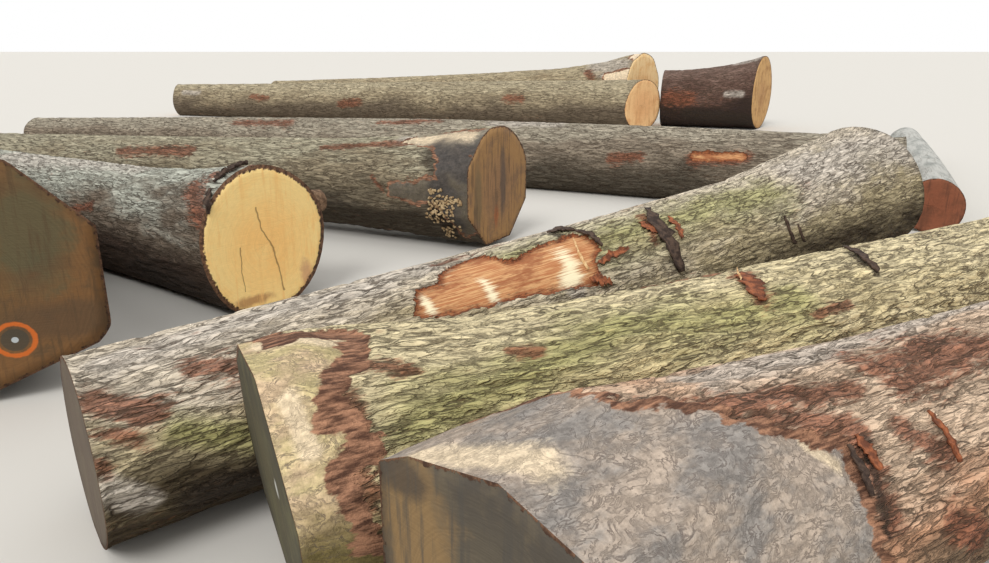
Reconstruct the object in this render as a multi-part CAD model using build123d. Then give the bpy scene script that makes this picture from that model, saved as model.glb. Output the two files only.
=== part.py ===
from build123d import *
import math
import os
import numpy as np

# Heap of felled hardwood logs lying on level ground.
# Lengths are in millimetres and angles in degrees. +X is to the right, +Y runs back through the heap, +Z is up.
# A log's heading is the way it runs from its near end, measured from +Y towards +X.

# Seating: how far the bark is crushed flat under a log, and the clearance where two logs lie together
BED_DEPTH = 14.0
CLEARANCE = 0.3

# Bark-covered stems are never quite round: share of the radius by which the outline swells and dips
OVAL_SHARE = 0.022
LOBE_SHARE = 0.014
FLUTE_SHARE = 0.009
OUTLINE_POINTS = 36

# Where along a stem its outlines stand, as shares of the length: closer together in the flare of the butt
STATION_SHARES = (0.03, 0.09, 0.2, 0.42, 0.7)

# Long mossy log, second from the front, its butt trimmed all round
MOSSY_LENGTH = 8000.0
MOSSY_STEM_DIA = 750.0
MOSSY_TOP_DIA = 640.0
MOSSY_BUTT_DIA = 900.0
MOSSY_FLARE_RUN = 330.0
MOSSY_X = -586.0
MOSSY_Y = 1909.0
MOSSY_HEADING = 57.5
MOSSY_CUT_SKEW = 6.5
MOSSY_CUT_LEAN = 5.5
MOSSY_HEW_DEPTH = 80.0
MOSSY_HEW_RUN = 300.0

# Front log with the broad hewn face on its butt
HEWN_LENGTH = 7000.0
HEWN_STEM_DIA = 740.0
HEWN_TOP_DIA = 620.0
HEWN_BUTT_DIA = 900.0
HEWN_FLARE_RUN = 1000.0
HEWN_X = -46.0
HEWN_Y = 1327.0
HEWN_HEADING = 58.4
HEWN_CUT_SKEW = -14.0
HEWN_FACE_DEPTH = 87.0
HEWN_FACE_RUN = 1200.0
HEWN_TOP_DEPTH = 110.0
HEWN_TOP_RUN = 480.0
HEWN_SIDE_DEPTH = 151.0
HEWN_SIDE_RUN = 700.0

# Log with the torn bark, third from the front, thin end towards the viewer
TORN_LENGTH = 5400.0
TORN_STEM_DIA = 640.0
TORN_FAR_DIA = 800.0
TORN_FLARE = 110.0
TORN_FLARE_RUN = 700.0
TORN_X = -1330.0
TORN_Y = 2230.0
TORN_HEADING = 48.5
TORN_CUT_SKEW = 6.0
TORN_BOW = 45.0

# Short butt log on the left with the eight-sided end
RINGED_LENGTH = 3000.0
RINGED_STEM_DIA = 1010.0
RINGED_BUTT_DIA = 1190.0
RINGED_FLARE_RUN = 420.0
RINGED_X = -2280.0
RINGED_Y = 3190.0
RINGED_HEADING = -39.4
RINGED_CUT_SKEW = 21.0
RINGED_HEW_DEPTH = 72.0
RINGED_HEW_RUN = 600.0
RINGED_UNDER_DEPTH = 93.0

# Freshly sawn log with the stub of a branch beside its end
FRESH_LENGTH = 6000.0
FRESH_STEM_DIA = 770.0
FRESH_TOP_DIA = 640.0
FRESH_BUTT_DIA = 920.0
FRESH_FLARE_RUN = 500.0
FRESH_X = -1350.0
FRESH_Y = 4450.0
FRESH_HEADING = -54.9
FRESH_CUT_SKEW = 3.0
STUB_DIA = 150.0
STUB_REACH = 115.0
STUB_HEIGHT = 560.0
STUB_SETBACK = 130.0

# Log behind it, its end trimmed to eight sides
OCTAGON_LENGTH = 7000.0
OCTAGON_STEM_DIA = 830.0
OCTAGON_TOP_DIA = 590.0
OCTAGON_BUTT_DIA = 1000.0
OCTAGON_FLARE_RUN = 450.0
OCTAGON_X = 30.0
OCTAGON_Y = 5930.0
OCTAGON_HEADING = -67.5
OCTAGON_CUT_SKEW = 8.0
OCTAGON_HEW_DEPTH = 58.0
OCTAGON_HEW_RUN = 620.0

# Longest log, lying across behind the others
GREY_LENGTH = 11000.0
GREY_NEAR_DIA = 720.0
GREY_FAR_DIA = 440.0
GREY_BELLY = 90.0
GREY_X = 3760.0
GREY_Y = 6968.0
GREY_HEADING = -67.5

# Weathered log lying end-on at the far end of the torn log
PALE_LENGTH = 4600.0
PALE_NEAR_DIA = 470.0
PALE_FAR_DIA = 400.0
PALE_X = 3640.0
PALE_Y = 6350.0
PALE_HEADING = 24.0

# Far row: a long slim log, a log with a flared butt and a dark short one
SLIM_LENGTH = 9250.0
SLIM_NEAR_DIA = 850.0
SLIM_FAR_DIA = 610.0
SLIM_X = 2520.0
SLIM_Y = 13500.0
SLIM_HEADING = -73.4
SLIM_CUT_SKEW = 31.0

FLARED_LENGTH = 7500.0
FLARED_STEM_DIA = 1020.0
FLARED_TOP_DIA = 640.0
FLARED_BUTT_DIA = 1340.0
FLARED_FLARE_RUN = 700.0
FLARED_X = 2672.0
FLARED_Y = 14489.0
FLARED_HEADING = -73.4
FLARED_CUT_SKEW = 20.0
FLARED_HEW_DEPTH = 90.0
FLARED_HEW_RUN = 1100.0

DARK_LENGTH = 1660.0
DARK_STEM_DIA = 960.0
DARK_BUTT_DIA = 1260.0
DARK_FLARE_RUN = 800.0
DARK_X = 4600.0
DARK_Y = 13750.0
DARK_HEADING = -72.0
DARK_CUT_SKEW = 14.0


def outline(radius, roll, y):
    """Closed, gently lobed outline of a stem, in the plane across its length."""
    points = []
    for i in range(OUTLINE_POINTS):
        angle = 2 * math.pi * i / OUTLINE_POINTS
        swell = OVAL_SHARE * math.cos(2 * angle + roll)
        swell += LOBE_SHARE * math.cos(3 * angle + 2.3 * roll)
        swell += FLUTE_SHARE * math.cos(5 * angle + 4.1 * roll)
        reach = radius * (1 + swell)
        points.append((reach * math.cos(angle), y, radius - BED_DEPTH + reach * math.sin(angle)))
    return Wire.make_polygon([Vector(*p) for p in points], close=True)


def stem(length, diameter_at, roll, bow=0.0, skew=0.0, far_skew=0.0, lean=0.0):
    """One stem along +Y, lofted through outlines, sawn at both ends and flattened where it bears."""
    spare = diameter_at(0) * 0.6
    rings = []
    stations = [-spare, *(share * length for share in STATION_SHARES), length + spare]
    for y in stations:
        ring = outline(diameter_at(y) / 2, roll, y)
        side = bow * math.sin(math.pi * min(max(y / length, 0), 1))
        rings.append(ring.moved(Location((side, 0, 0))))
    body = Solid.make_loft(rings, ruled=True)
    tip = math.radians(lean)
    near = Plane(origin=(0, 0, 0), z_dir=turned((0, -math.cos(tip), -math.sin(tip)), skew))
    far = Plane(origin=(0, length, 0), z_dir=turned((0, 1, 0), far_skew))
    ground = Plane(origin=(0, 0, 0), z_dir=(0, 0, -1))
    for plane in (near, far, ground):
        body = inside(body, plane)
    return body


def turned(direction, degrees):
    """A direction turned about the vertical, clockwise seen from above."""
    return Vector(*direction).rotate(Axis.Z, -degrees)


def inside(body, plane):
    """What is left of a body on the inner side of a cutting plane."""
    return split(body, bisect_by=plane, keep=Keep.BOTTOM).solid()


def hew(body, diameter_at, roll, depth, run):
    """Slices one flat off the butt: deepest at the sawn end, running out along the stem."""
    reach = diameter_at(0) / 2 - depth
    climb = diameter_at(run) / 2 - reach
    angle = math.radians(roll)
    across = Vector(math.sin(angle), 0, math.cos(angle))
    slope = math.atan2(climb, run)
    normal = across * math.cos(slope) + Vector(0, -math.sin(slope), 0)
    centre = Vector(0, 0, diameter_at(0) / 2 - BED_DEPTH)
    return inside(body, Plane(origin=centre + across * reach, z_dir=normal))


def flared(butt, trunk, top, run, length):
    """Diameter along a stem that swells towards its butt and tapers to its top."""
    def diameter_at(y):
        y = max(y, 0)
        taper = trunk + (top - trunk) * min(y / length, 1.05)
        return taper + (butt - trunk) * math.exp(-y / run)
    return diameter_at


def laid(body, x, y, heading):
    """A stem turned to its heading and set down with its near end at x, y."""
    return body.rotate(Axis.Z, -heading).moved(Location((x, y, 0)))


def facets(body, push):
    """Corners of a stem's facets, measured along the push, across it and up."""
    corners, triangles = body.tessellate(0.5, 0.3)
    axes = np.array([tuple(push), (-push.Y, push.X, 0.0), (0.0, 0.0, 1.0)])
    points = np.array([tuple(corner) for corner in corners]) @ axes.T
    return points[np.array(triangles)]


def cross(one, other):
    """Cross product of level-and-upright pairs, left out of the push direction."""
    return one[..., 1] * other[..., 2] - one[..., 2] * other[..., 1]


def corner_gap(corners, triangles):
    """Least way along the push from corners to the facets that lie before them."""
    a, b, c = (triangles[None, :, i] for i in range(3))
    p = corners[:, None]
    area = cross(b - a, c - a)
    area = np.where(np.abs(area) < 1e-9, np.inf, area)
    share_b = cross(p - a, c - a) / area
    share_c = cross(b - a, p - a) / area
    within = (share_b >= 0) & (share_c >= 0) & (share_b + share_c <= 1) & np.isfinite(area)
    ahead = a[..., 0] + share_b * (b - a)[..., 0] + share_c * (c - a)[..., 0]
    return np.where(within, ahead - p[..., 0], np.inf)


def edge_gap(ours, theirs):
    """Least way along the push from one set of edges to the edges that they cross."""
    p = ours[:, None, 0]
    q = ours[:, None, 1] - p
    r = theirs[None, :, 0]
    t = theirs[None, :, 1] - r
    skew = cross(q, t)
    skew = np.where(np.abs(skew) < 1e-9, np.inf, skew)
    along = cross(r - p, t) / skew
    beyond = cross(r - p, q) / skew
    crossing = (along >= 0) & (along <= 1) & (beyond >= 0) & (beyond <= 1) & np.isfinite(skew)
    gap = r[..., 0] + beyond * t[..., 0] - p[..., 0] - along * q[..., 0]
    return np.where(crossing, gap, np.inf).min()


def edges_of(triangles):
    """The edges of a set of facets, each written once for each facet."""
    return np.concatenate([triangles[:, [0, 1]], triangles[:, [1, 2]], triangles[:, [2, 0]]])


def brought_against(moving, push, *neighbours):
    """Slides a stem along a level direction until the clearance to its first neighbour is left."""
    run_up = 3000.0
    ours = facets(moving, push)
    ours[..., 0] -= run_up
    way = math.inf
    for neighbour in neighbours:
        theirs = facets(neighbour, push)
        way = min(way, corner_gap(ours.reshape(-1, 3), theirs).min())
        back = ours * (-1, 1, 1)
        way = min(way, corner_gap(theirs.reshape(-1, 3) * (-1, 1, 1), back).min())
        way = min(way, edge_gap(edges_of(ours), edges_of(theirs)))
    travel = way - run_up - CLEARANCE
    print("moved by", round(travel, 2), "mm")
    return moving.moved(Location(push * travel))


def sideways(heading, hand):
    """Level direction square to a log's length: to its right (1) or to its left (-1)."""
    return turned((hand, 0, 0), heading)


def endways(heading, way):
    """Level direction along a log's length: onwards (1) or back (-1)."""
    return turned((0, way, 0), heading)


def torn_bark_log():
    def diameter_at(y):
        taper = TORN_STEM_DIA + (TORN_FAR_DIA - TORN_STEM_DIA) * y / TORN_LENGTH
        return taper + TORN_FLARE * math.exp((y - TORN_LENGTH) / TORN_FLARE_RUN)
    body = stem(TORN_LENGTH, diameter_at, 0.4, TORN_BOW, TORN_CUT_SKEW)
    return laid(body, TORN_X, TORN_Y, TORN_HEADING)


def mossy_log():
    shape = flared(MOSSY_BUTT_DIA, MOSSY_STEM_DIA, MOSSY_TOP_DIA, MOSSY_FLARE_RUN, MOSSY_LENGTH)
    body = stem(MOSSY_LENGTH, shape, 1.9, 30.0, MOSSY_CUT_SKEW, lean=MOSSY_CUT_LEAN)
    for roll in (-65, -35, -5, 52, 108, 150, 205):
        body = hew(body, shape, roll, MOSSY_HEW_DEPTH, MOSSY_HEW_RUN)
    return laid(body, MOSSY_X, MOSSY_Y, MOSSY_HEADING)


def hewn_butt_log():
    shape = flared(HEWN_BUTT_DIA, HEWN_STEM_DIA, HEWN_TOP_DIA, HEWN_FLARE_RUN, HEWN_LENGTH)
    body = stem(HEWN_LENGTH, shape, 3.1, -25.0, HEWN_CUT_SKEW)
    body = hew(body, shape, 18, HEWN_FACE_DEPTH, HEWN_FACE_RUN)
    body = hew(body, shape, -9, HEWN_TOP_DEPTH, HEWN_TOP_RUN)
    body = hew(body, shape, -26, HEWN_FACE_DEPTH, HEWN_TOP_RUN)
    body = hew(body, shape, -90, HEWN_SIDE_DEPTH, HEWN_SIDE_RUN)
    return laid(body, HEWN_X, HEWN_Y, HEWN_HEADING)


def ringed_butt_log():
    top = RINGED_STEM_DIA * 0.96
    shape = flared(RINGED_BUTT_DIA, RINGED_STEM_DIA, top, RINGED_FLARE_RUN, RINGED_LENGTH)
    body = stem(RINGED_LENGTH, shape, 5.2, 0.0, RINGED_CUT_SKEW)
    for roll in (0, 47, 90, 205, 250, 290, 325):
        body = hew(body, shape, roll, RINGED_HEW_DEPTH, RINGED_HEW_RUN)
    body = hew(body, shape, 157, RINGED_UNDER_DEPTH, RINGED_HEW_RUN)
    return laid(body, RINGED_X, RINGED_Y, RINGED_HEADING)


def fresh_sawn_log():
    shape = flared(FRESH_BUTT_DIA, FRESH_STEM_DIA, FRESH_TOP_DIA, FRESH_FLARE_RUN, FRESH_LENGTH)
    body = stem(FRESH_LENGTH, shape, 2.6, 35.0, FRESH_CUT_SKEW)
    reach = shape(STUB_SETBACK) / 2 + STUB_REACH
    stub = Solid.make_cone(STUB_DIA / 2 * 1.3, STUB_DIA / 2, reach, Plane((0, 0, 0), z_dir=(1, 0, 0)))
    body = (body + stub.moved(Location((0, STUB_SETBACK, STUB_HEIGHT)))).solid()
    return laid(body, FRESH_X, FRESH_Y, FRESH_HEADING)


def octagon_end_log():
    shape = flared(OCTAGON_BUTT_DIA, OCTAGON_STEM_DIA, OCTAGON_TOP_DIA, OCTAGON_FLARE_RUN, OCTAGON_LENGTH)
    body = stem(OCTAGON_LENGTH, shape, 0.9, -40.0, OCTAGON_CUT_SKEW)
    for i in range(8):
        body = hew(body, shape, 45 * i, OCTAGON_HEW_DEPTH, OCTAGON_HEW_RUN)
    return laid(body, OCTAGON_X, OCTAGON_Y, OCTAGON_HEADING)


def long_grey_log():
    def diameter_at(y):
        share = min(max(y / GREY_LENGTH, 0), 1)
        taper = GREY_NEAR_DIA + (GREY_FAR_DIA - GREY_NEAR_DIA) * share
        return taper + GREY_BELLY * math.sin(math.pi * share)
    body = stem(GREY_LENGTH, diameter_at, 4.4, 60.0)
    return laid(body, GREY_X, GREY_Y, GREY_HEADING)


def weathered_log():
    shape = flared(PALE_NEAR_DIA, PALE_NEAR_DIA, PALE_FAR_DIA, 1.0, PALE_LENGTH)
    return laid(stem(PALE_LENGTH, shape, 1.1, 25.0), PALE_X, PALE_Y, PALE_HEADING)


def far_slim_log():
    shape = flared(SLIM_NEAR_DIA, SLIM_NEAR_DIA, SLIM_FAR_DIA, 1.0, SLIM_LENGTH)
    body = stem(SLIM_LENGTH, shape, 3.7, -50.0, SLIM_CUT_SKEW, -SLIM_CUT_SKEW / 3)
    return laid(body, SLIM_X, SLIM_Y, SLIM_HEADING)


def far_flared_log():
    shape = flared(FLARED_BUTT_DIA, FLARED_STEM_DIA, FLARED_TOP_DIA, FLARED_FLARE_RUN, FLARED_LENGTH)
    body = stem(FLARED_LENGTH, shape, 2.2, 30.0, FLARED_CUT_SKEW)
    for roll in (-20, 55):
        body = hew(body, shape, roll, FLARED_HEW_DEPTH, FLARED_HEW_RUN)
    return laid(body, FLARED_X, FLARED_Y, FLARED_HEADING)


def far_dark_log():
    top = DARK_STEM_DIA * 0.97
    shape = flared(DARK_BUTT_DIA, DARK_STEM_DIA, top, DARK_FLARE_RUN, DARK_LENGTH)
    return laid(stem(DARK_LENGTH, shape, 0.2, 0.0, DARK_CUT_SKEW), DARK_X, DARK_Y, DARK_HEADING)


# The three front logs lie side by side, each rolled against the one behind it
torn = torn_bark_log()
mossy = brought_against(mossy_log(), sideways(MOSSY_HEADING, -1), torn)
hewn = brought_against(hewn_butt_log(), sideways(HEWN_HEADING, -1), mossy)

# The three on the left meet towards their far ends
octagon = octagon_end_log()
fresh = brought_against(fresh_sawn_log(), sideways(FRESH_HEADING, 1), octagon)
ringed = brought_against(ringed_butt_log(), sideways(RINGED_HEADING, 1), fresh)

# The longest log ends against the weathered one
pale = weathered_log()
grey = brought_against(long_grey_log(), endways(GREY_HEADING, -1), pale)

# The far row
slim = far_slim_log()
flared_butt = brought_against(far_flared_log(), sideways(FLARED_HEADING, -1), slim)
dark = brought_against(far_dark_log(), endways(DARK_HEADING, 1), slim, flared_butt)

heap = {
    "hewn_butt_log": hewn,
    "mossy_log": mossy,
    "torn_bark_log": torn,
    "ringed_butt_log": ringed,
    "fresh_sawn_log": fresh,
    "octagon_end_log": octagon,
    "long_grey_log": grey,
    "weathered_log": pale,
    "far_slim_log": slim,
    "far_flared_log": flared_butt,
    "far_dark_log": dark,
}

# The origin is the middle of the heap's plan, on the ground
boxes = [body.bounding_box() for body in heap.values()]
middle_x = (min(box.min.X for box in boxes) + max(box.max.X for box in boxes)) / 2
middle_y = (min(box.min.Y for box in boxes) + max(box.max.Y for box in boxes)) / 2
middle = Location((-middle_x, -middle_y, 0))
print("middle of the plan", round(middle_x, 2), round(middle_y, 2))

os.makedirs("parts", exist_ok=True)
for name, body in heap.items():
    placed = body.moved(middle)
    export_step(placed, f"parts/{name}.step")
    print(name, "volume m3", round(placed.volume / 1e9, 3), "faces", len(placed.faces()))
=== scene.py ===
# %% [markdown]
# # A heap of felled hardwood logs
#
# The heap is eleven oak-like logs that lie in one layer on level ground. Three long ones lie side by side in
# front, three meet at the left, one long one crosses behind with a short bleached one at its end, and three make
# a far row. Each is one stem with its bark on, sawn at both ends, and some butts are trimmed flat.
#
# The solid stems come from the CAD model. This script gives each one its skin: furrowed bark, torn strips of
# bare wood, hewn flats, and sawn faces with growth rings. Nothing is moved or resized here.

# %% Load the fixed frame
import math

import bmesh
import bpy
import numpy as np
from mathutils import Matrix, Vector
from mathutils.bvhtree import BVHTree


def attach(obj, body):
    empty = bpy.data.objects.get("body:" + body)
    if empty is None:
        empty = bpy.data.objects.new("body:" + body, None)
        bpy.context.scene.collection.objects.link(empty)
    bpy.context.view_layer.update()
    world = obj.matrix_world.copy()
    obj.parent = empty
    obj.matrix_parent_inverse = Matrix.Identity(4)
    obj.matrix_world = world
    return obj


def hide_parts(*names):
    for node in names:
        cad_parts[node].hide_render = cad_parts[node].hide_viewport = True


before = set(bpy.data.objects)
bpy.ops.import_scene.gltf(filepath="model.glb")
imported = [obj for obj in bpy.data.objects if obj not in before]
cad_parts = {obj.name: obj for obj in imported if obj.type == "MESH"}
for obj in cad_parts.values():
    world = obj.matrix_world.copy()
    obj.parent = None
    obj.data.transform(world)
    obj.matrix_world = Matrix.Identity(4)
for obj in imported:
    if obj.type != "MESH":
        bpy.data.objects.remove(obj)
bpy.context.view_layer.update()
scene = bpy.context.scene

# %% [markdown]
# ## The viewer's eye
#
# The photo was taken by someone standing in front of the heap. The horizon fixes the tilt of the camera, and the
# eye is 1.6 m above the ground. The camera comes first, because marks on the logs are placed by the spot where
# they are seen: a pixel of the photo is followed out from the eye until it meets the log that carries the mark.

# %% Camera at the photo's viewing angle
PHOTO_WIDTH = 989
PHOTO_HEIGHT = 563
FOCAL_PIXELS = 780.0
SENSOR_WIDTH = 36.0
EYE = Vector((0.1208, -8.9788, 1.6))
TILT_DOWN = math.radians(17.738)

camera_data = bpy.data.cameras.new("viewer")
camera_data.sensor_fit = "HORIZONTAL"
camera_data.sensor_width = SENSOR_WIDTH
camera_data.lens = SENSOR_WIDTH * FOCAL_PIXELS / PHOTO_WIDTH
camera_data.clip_end = 400.0
camera = bpy.data.objects.new("viewer", camera_data)
camera.location = EYE
camera.rotation_euler = (math.pi / 2 - TILT_DOWN, 0.0, 0.0)
scene.collection.objects.link(camera)
scene.camera = camera


def sight_line(x, y):
    """Direction from the eye through a pixel of the photo."""
    across = (x - PHOTO_WIDTH / 2) / FOCAL_PIXELS
    down = (y - PHOTO_HEIGHT / 2) / FOCAL_PIXELS
    forward = math.cos(TILT_DOWN) - down * math.sin(TILT_DOWN)
    fall = math.sin(TILT_DOWN) + down * math.cos(TILT_DOWN)
    return Vector((across, forward, -fall)).normalized()


print("lens", round(camera_data.lens, 2), "mm")

# %% [markdown]
# ## Where each log runs
#
# A log is easiest to dress in its own directions: along the stem, across it and up. Its heading turns the shared
# frame into those. The two sawn faces are found in the CAD mesh itself, as the faces that look along the stem,
# and so are the broad flats that were trimmed off some butts.

# %% One frame for each log
HEADINGS = {
    "hewn_butt_log": 58.4,
    "mossy_log": 57.5,
    "torn_bark_log": 48.5,
    "ringed_butt_log": -39.4,
    "fresh_sawn_log": -54.9,
    "octagon_end_log": -67.5,
    "long_grey_log": -67.5,
    "weathered_log": 24.0,
    "far_slim_log": -73.4,
    "far_flared_log": -73.4,
    "far_dark_log": -72.0,
}
# How far from the butt the trimming of each log goes, in metres
HEWN_RUNS = {
    "hewn_butt_log": 1.6,
    "mossy_log": 0.6,
    "ringed_butt_log": 0.9,
    "octagon_end_log": 0.75,
    "far_flared_log": 1.5,
}
LONGEST_FLAT = 1.7
NARROWEST_FLAT = 0.15
OUTSIDE = 3.0
AXIS_STEPS = 25
AXIS_INSET = 0.25


def unit(rows):
    """Vectors with a length of one."""
    return rows / np.maximum(np.linalg.norm(rows, axis=-1, keepdims=True), 1e-6)


class Stem:
    """A CAD log seen in its own directions: across, along and up."""

    def __init__(self, name):
        self.name = name
        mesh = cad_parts[name].data
        cos, sin = (turn(math.radians(HEADINGS[name])) for turn in (math.cos, math.sin))
        self.axes = np.array([(cos, -sin, 0.0), (sin, cos, 0.0), (0.0, 0.0, 1.0)])
        self.eye = self.axes @ np.array(EYE)
        corners = np.array([v.co for v in mesh.vertices]) @ self.axes.T
        triangles = [tuple(p.vertices) for p in mesh.polygons]
        self.tree = BVHTree.FromPolygons([Vector(c) for c in corners], triangles)
        facets = corners[np.array(triangles)]
        self.near, self.far = self.end_plane(facets, -1), self.end_plane(facets, 1)
        self.butt = self.near[0][1]
        self.start = corners[:, 1].min()
        self.flats = self.trimmed_flats(facets) if name in HEWN_RUNS else set()
        self.find_axis(corners[:, 0].mean())

    def end_plane(self, facets, way):
        """A point on a sawn face and its outward normal."""
        area = np.cross(facets[:, 1] - facets[:, 0], facets[:, 2] - facets[:, 0]) / 2
        size = np.linalg.norm(area, axis=1)
        facing = area[:, 1] * way > 0.7 * size
        normal = area[np.argmax(size * facing)]
        normal = normal / np.linalg.norm(normal)
        on_face = facing & (area @ normal > 0.999 * size)
        middles = facets.mean(axis=1)[on_face] * size[on_face, None]
        return middles.sum(axis=0) / size[on_face].sum(), normal

    def trimmed_flats(self, facets):
        """Triangles of the broad flats that were trimmed off the butt."""
        groups = {}
        for i, (a, b, c) in enumerate(facets):
            area = np.cross(b - a, c - a)
            size = np.linalg.norm(area)
            if size == 0 or max(a[1], b[1], c[1]) > self.butt + LONGEST_FLAT:
                continue
            if abs(area[1]) > 0.5 * size or area[2] < -0.999 * size:
                continue
            normal = area / size
            key = (*np.round(normal, 2), round(float(normal @ a), 2))
            groups.setdefault(key, []).append(i)
        flats = set()
        for (n_x, _, n_z, _), members in groups.items():
            points = facets[members].reshape(-1, 3)
            across = points[:, 0] * n_z - points[:, 2] * n_x
            if np.ptp(across) > NARROWEST_FLAT and points[:, 1].min() < self.butt + 0.4:
                flats.update(members)
        return flats

    def find_axis(self, guess):
        """Middle of the stem at even steps of its length."""
        self.steps = np.linspace(self.butt + AXIS_INSET, self.far[0][1] - AXIS_INSET, AXIS_STEPS)
        middle = []
        for y in self.steps:
            top = self.tree.ray_cast(Vector((guess, y, 5.0)), Vector((0, 0, -1)))[0]
            height = top.z / 2 if top else 0.35
            left, right = (
                self.tree.ray_cast(Vector((guess - 9.0 * way, y, height)), Vector((way, 0, 0)))[0] for way in (1, -1)
            )
            guess = (left.x + right.x) / 2 if left and right else guess
            middle.append((guess, height))
        self.middle = np.array(middle)

    def centre(self, y):
        """Middle of the stem at a distance along it."""
        return tuple(np.interp(y, self.steps, self.middle[:, k]) for k in (0, 1))

    def reach(self, y, angle):
        """How far out the bark lies at a distance along and an angle from the top, and whether it is trimmed."""
        x, z = self.centre(y)
        way = Vector((math.sin(angle), 0.0, math.cos(angle)))
        spot, normal, facet, _ = self.tree.ray_cast(Vector((x, y, z)) + way * OUTSIDE, -way)
        if spot is None or abs(normal.y) > 0.5:
            return None
        trimmed = facet in self.flats and y < self.butt + HEWN_RUNS[self.name]
        return (spot - Vector((x, y, z))).dot(way), trimmed

    def look(self, x, y):
        """Where the sight line through a pixel meets the log, and the way out of the bark there."""
        eye = Vector(self.eye)
        ray = Vector(self.axes @ np.array(sight_line(x, y)))
        spot, normal, _, _ = self.tree.ray_cast(eye, ray)
        if spot is None:
            tries = [self.tree.find_nearest(eye + ray * (0.3 * k)) for k in range(5, 80)]
            spot, normal, _, _ = min(tries, key=lambda found: found[3])
        return np.array(spot), np.array(normal)

    def seen(self, x, y):
        """Distance along the stem and angle from its top of the spot seen at a pixel."""
        spot = self.look(x, y)[0]
        mid_x, mid_z = self.centre(spot[1])
        return spot[1], math.atan2(spot[0] - mid_x, spot[2] - mid_z)

    def on_face(self, x, y):
        """Distance across and up from the pith of the spot of the near sawn face seen at a pixel."""
        ray = self.axes @ np.array(sight_line(x, y))
        point, normal = self.near
        spot = self.eye + ray * ((point - self.eye) @ normal) / (ray @ normal)
        mid_x, mid_z = self.centre(spot[1])
        return spot[0] - mid_x, spot[2] - mid_z


stems = {name: Stem(name) for name in HEADINGS}
for name, stem in stems.items():
    print(name, "runs", round(stem.far[0][1] - stem.butt, 2), "m")

# %% [markdown]
# ## The skin of a log
#
# The skin is a net wrapped on the CAD stem: rings along it and sides around it, each knot dropped from outside
# onto the solid. It could also be the CAD mesh subdivided, but that has long thin triangles that can't carry
# relief. Knots lie close where a log is near the viewer and wide apart where it is far or hidden. Both sawn
# faces are closed with rings that shrink to the pith, so the skin is one shell without a gap.

# %% Net of one log
CAP_RINGS = 14
CAP_SPREAD = 0.8
RIM_INSET = 0.0008
END_INSET = 0.003
SLOWING = 0.8
STUB_PROUD = 0.075


def ring_steps(length, fine, coarse, fine_length):
    """Shares of a log's length at which its rings stand: fine ones first, then wider apart."""
    places = [0.0]
    while places[-1] < length:
        far_share = min(max((places[-1] - fine_length) / SLOWING, 0.0), 1.0)
        places.append(places[-1] + fine + (coarse - fine) * far_share)
    return np.array(places) / places[-1]


def pith_of(stem, plane):
    """Middle of a sawn face, on its plane."""
    point, normal = plane
    x, z = stem.centre(point[1])
    y = point[1] - (normal[0] * (x - point[0]) + normal[2] * (z - point[2])) / normal[1]
    return np.array([x, y, z])


def rim_of(stem, plane, angles):
    """Corners of a sawn face's rim, found by looking along its plane towards the pith."""
    pith = pith_of(stem, plane)
    normal = plane[1]
    rim = np.zeros((len(angles), 3))
    for j, angle in enumerate(angles):
        way = np.array([math.sin(angle), 0.0, math.cos(angle)])
        way[1] = -(normal[0] * way[0] + normal[2] * way[2]) / normal[1]
        way /= np.linalg.norm(way)
        spot = stem.tree.ray_cast(Vector(pith + OUTSIDE * way - RIM_INSET * normal), Vector(-way))[0]
        rim[j] = np.array(spot) + RIM_INSET * normal
    return rim


def wrap(stem, sides, fine, coarse, fine_length):
    """Knots of the net in the stem's directions, their angles and radii, and which are on a trimmed flat."""
    angles = 2 * math.pi * np.arange(sides) / sides
    near_rim, far_rim = (rim_of(stem, plane, angles) for plane in (stem.near, stem.far))
    first, last = near_rim[:, 1], far_rim[:, 1]
    shares = ring_steps(float((last - first).mean()), fine, coarse, fine_length)
    knots = np.zeros((len(shares), sides, 3))
    flat = np.zeros(knots.shape[:2], bool)
    radii = np.zeros(knots.shape[:2])
    for i, share in enumerate(shares):
        for j, angle in enumerate(angles):
            y = first[j] + (last[j] - first[j]) * share
            found = stem.reach(y + END_INSET * (1 - 2 * share), angle)
            if found:
                radii[i, j], flat[i, j] = found
            else:
                radii[i, j] = radii[max(i - 1, 0), j]
            x, z = stem.centre(y)
            knots[i, j] = (x + radii[i, j] * math.sin(angle), y, z + radii[i, j] * math.cos(angle))
    knots[0], knots[-1] = near_rim, far_rim
    flat[0] |= flat[1]
    return knots, angles, flat, radii


def without_stub(knots, radii, angles, stem):
    """Drops knots that landed on a branch stub back onto the round of the stem."""
    usual = np.median(radii, axis=1)
    proud = np.argwhere(radii > usual[:, None] + STUB_PROUD)
    for i, j in proud:
        x, z = stem.centre(knots[i, j, 1])
        radii[i, j] = usual[i]
        knots[i, j, 0] = x + usual[i] * math.sin(angles[j])
        knots[i, j, 2] = z + usual[i] * math.cos(angles[j])
    print("knots taken off the stub", len(proud))


# %% [markdown]
# ## Fields that tell the finish where it is
#
# A finish needs to know more than its place. Each knot of the net carries a few numbers: its place measured
# from the pith (grain), the way to the pith (inward), how far inside the trimmed wood it is, and how strongly
# each named mark reaches it. A mark is either a stroke from one seen spot to another, like a brush stroke, or a
# patch with seen corners. Trimmed wood and torn strips are patches, because their outlines matter.

# %% Marks and trimmed flats
FAR_OFF = 9.0
NOT_HERE = -1.0
FLAT_MARGIN = 0.4
MARK_KINDS = ("scuff", "moss", "pale", "dark", "torn")


def gap_to_run(along, arc, start, end):
    """Distance on the unrolled bark from each knot to a straight run between two spots."""
    way_y, way_a = end[0] - start[0], end[1] - start[1]
    length = max(way_y**2 + way_a**2, 1e-9)
    share = np.clip(((along - start[0]) * way_y + (arc - start[1]) * way_a) / length, 0, 1)
    return np.hypot(along - start[0] - share * way_y, arc - start[1] - share * way_a)


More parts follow.
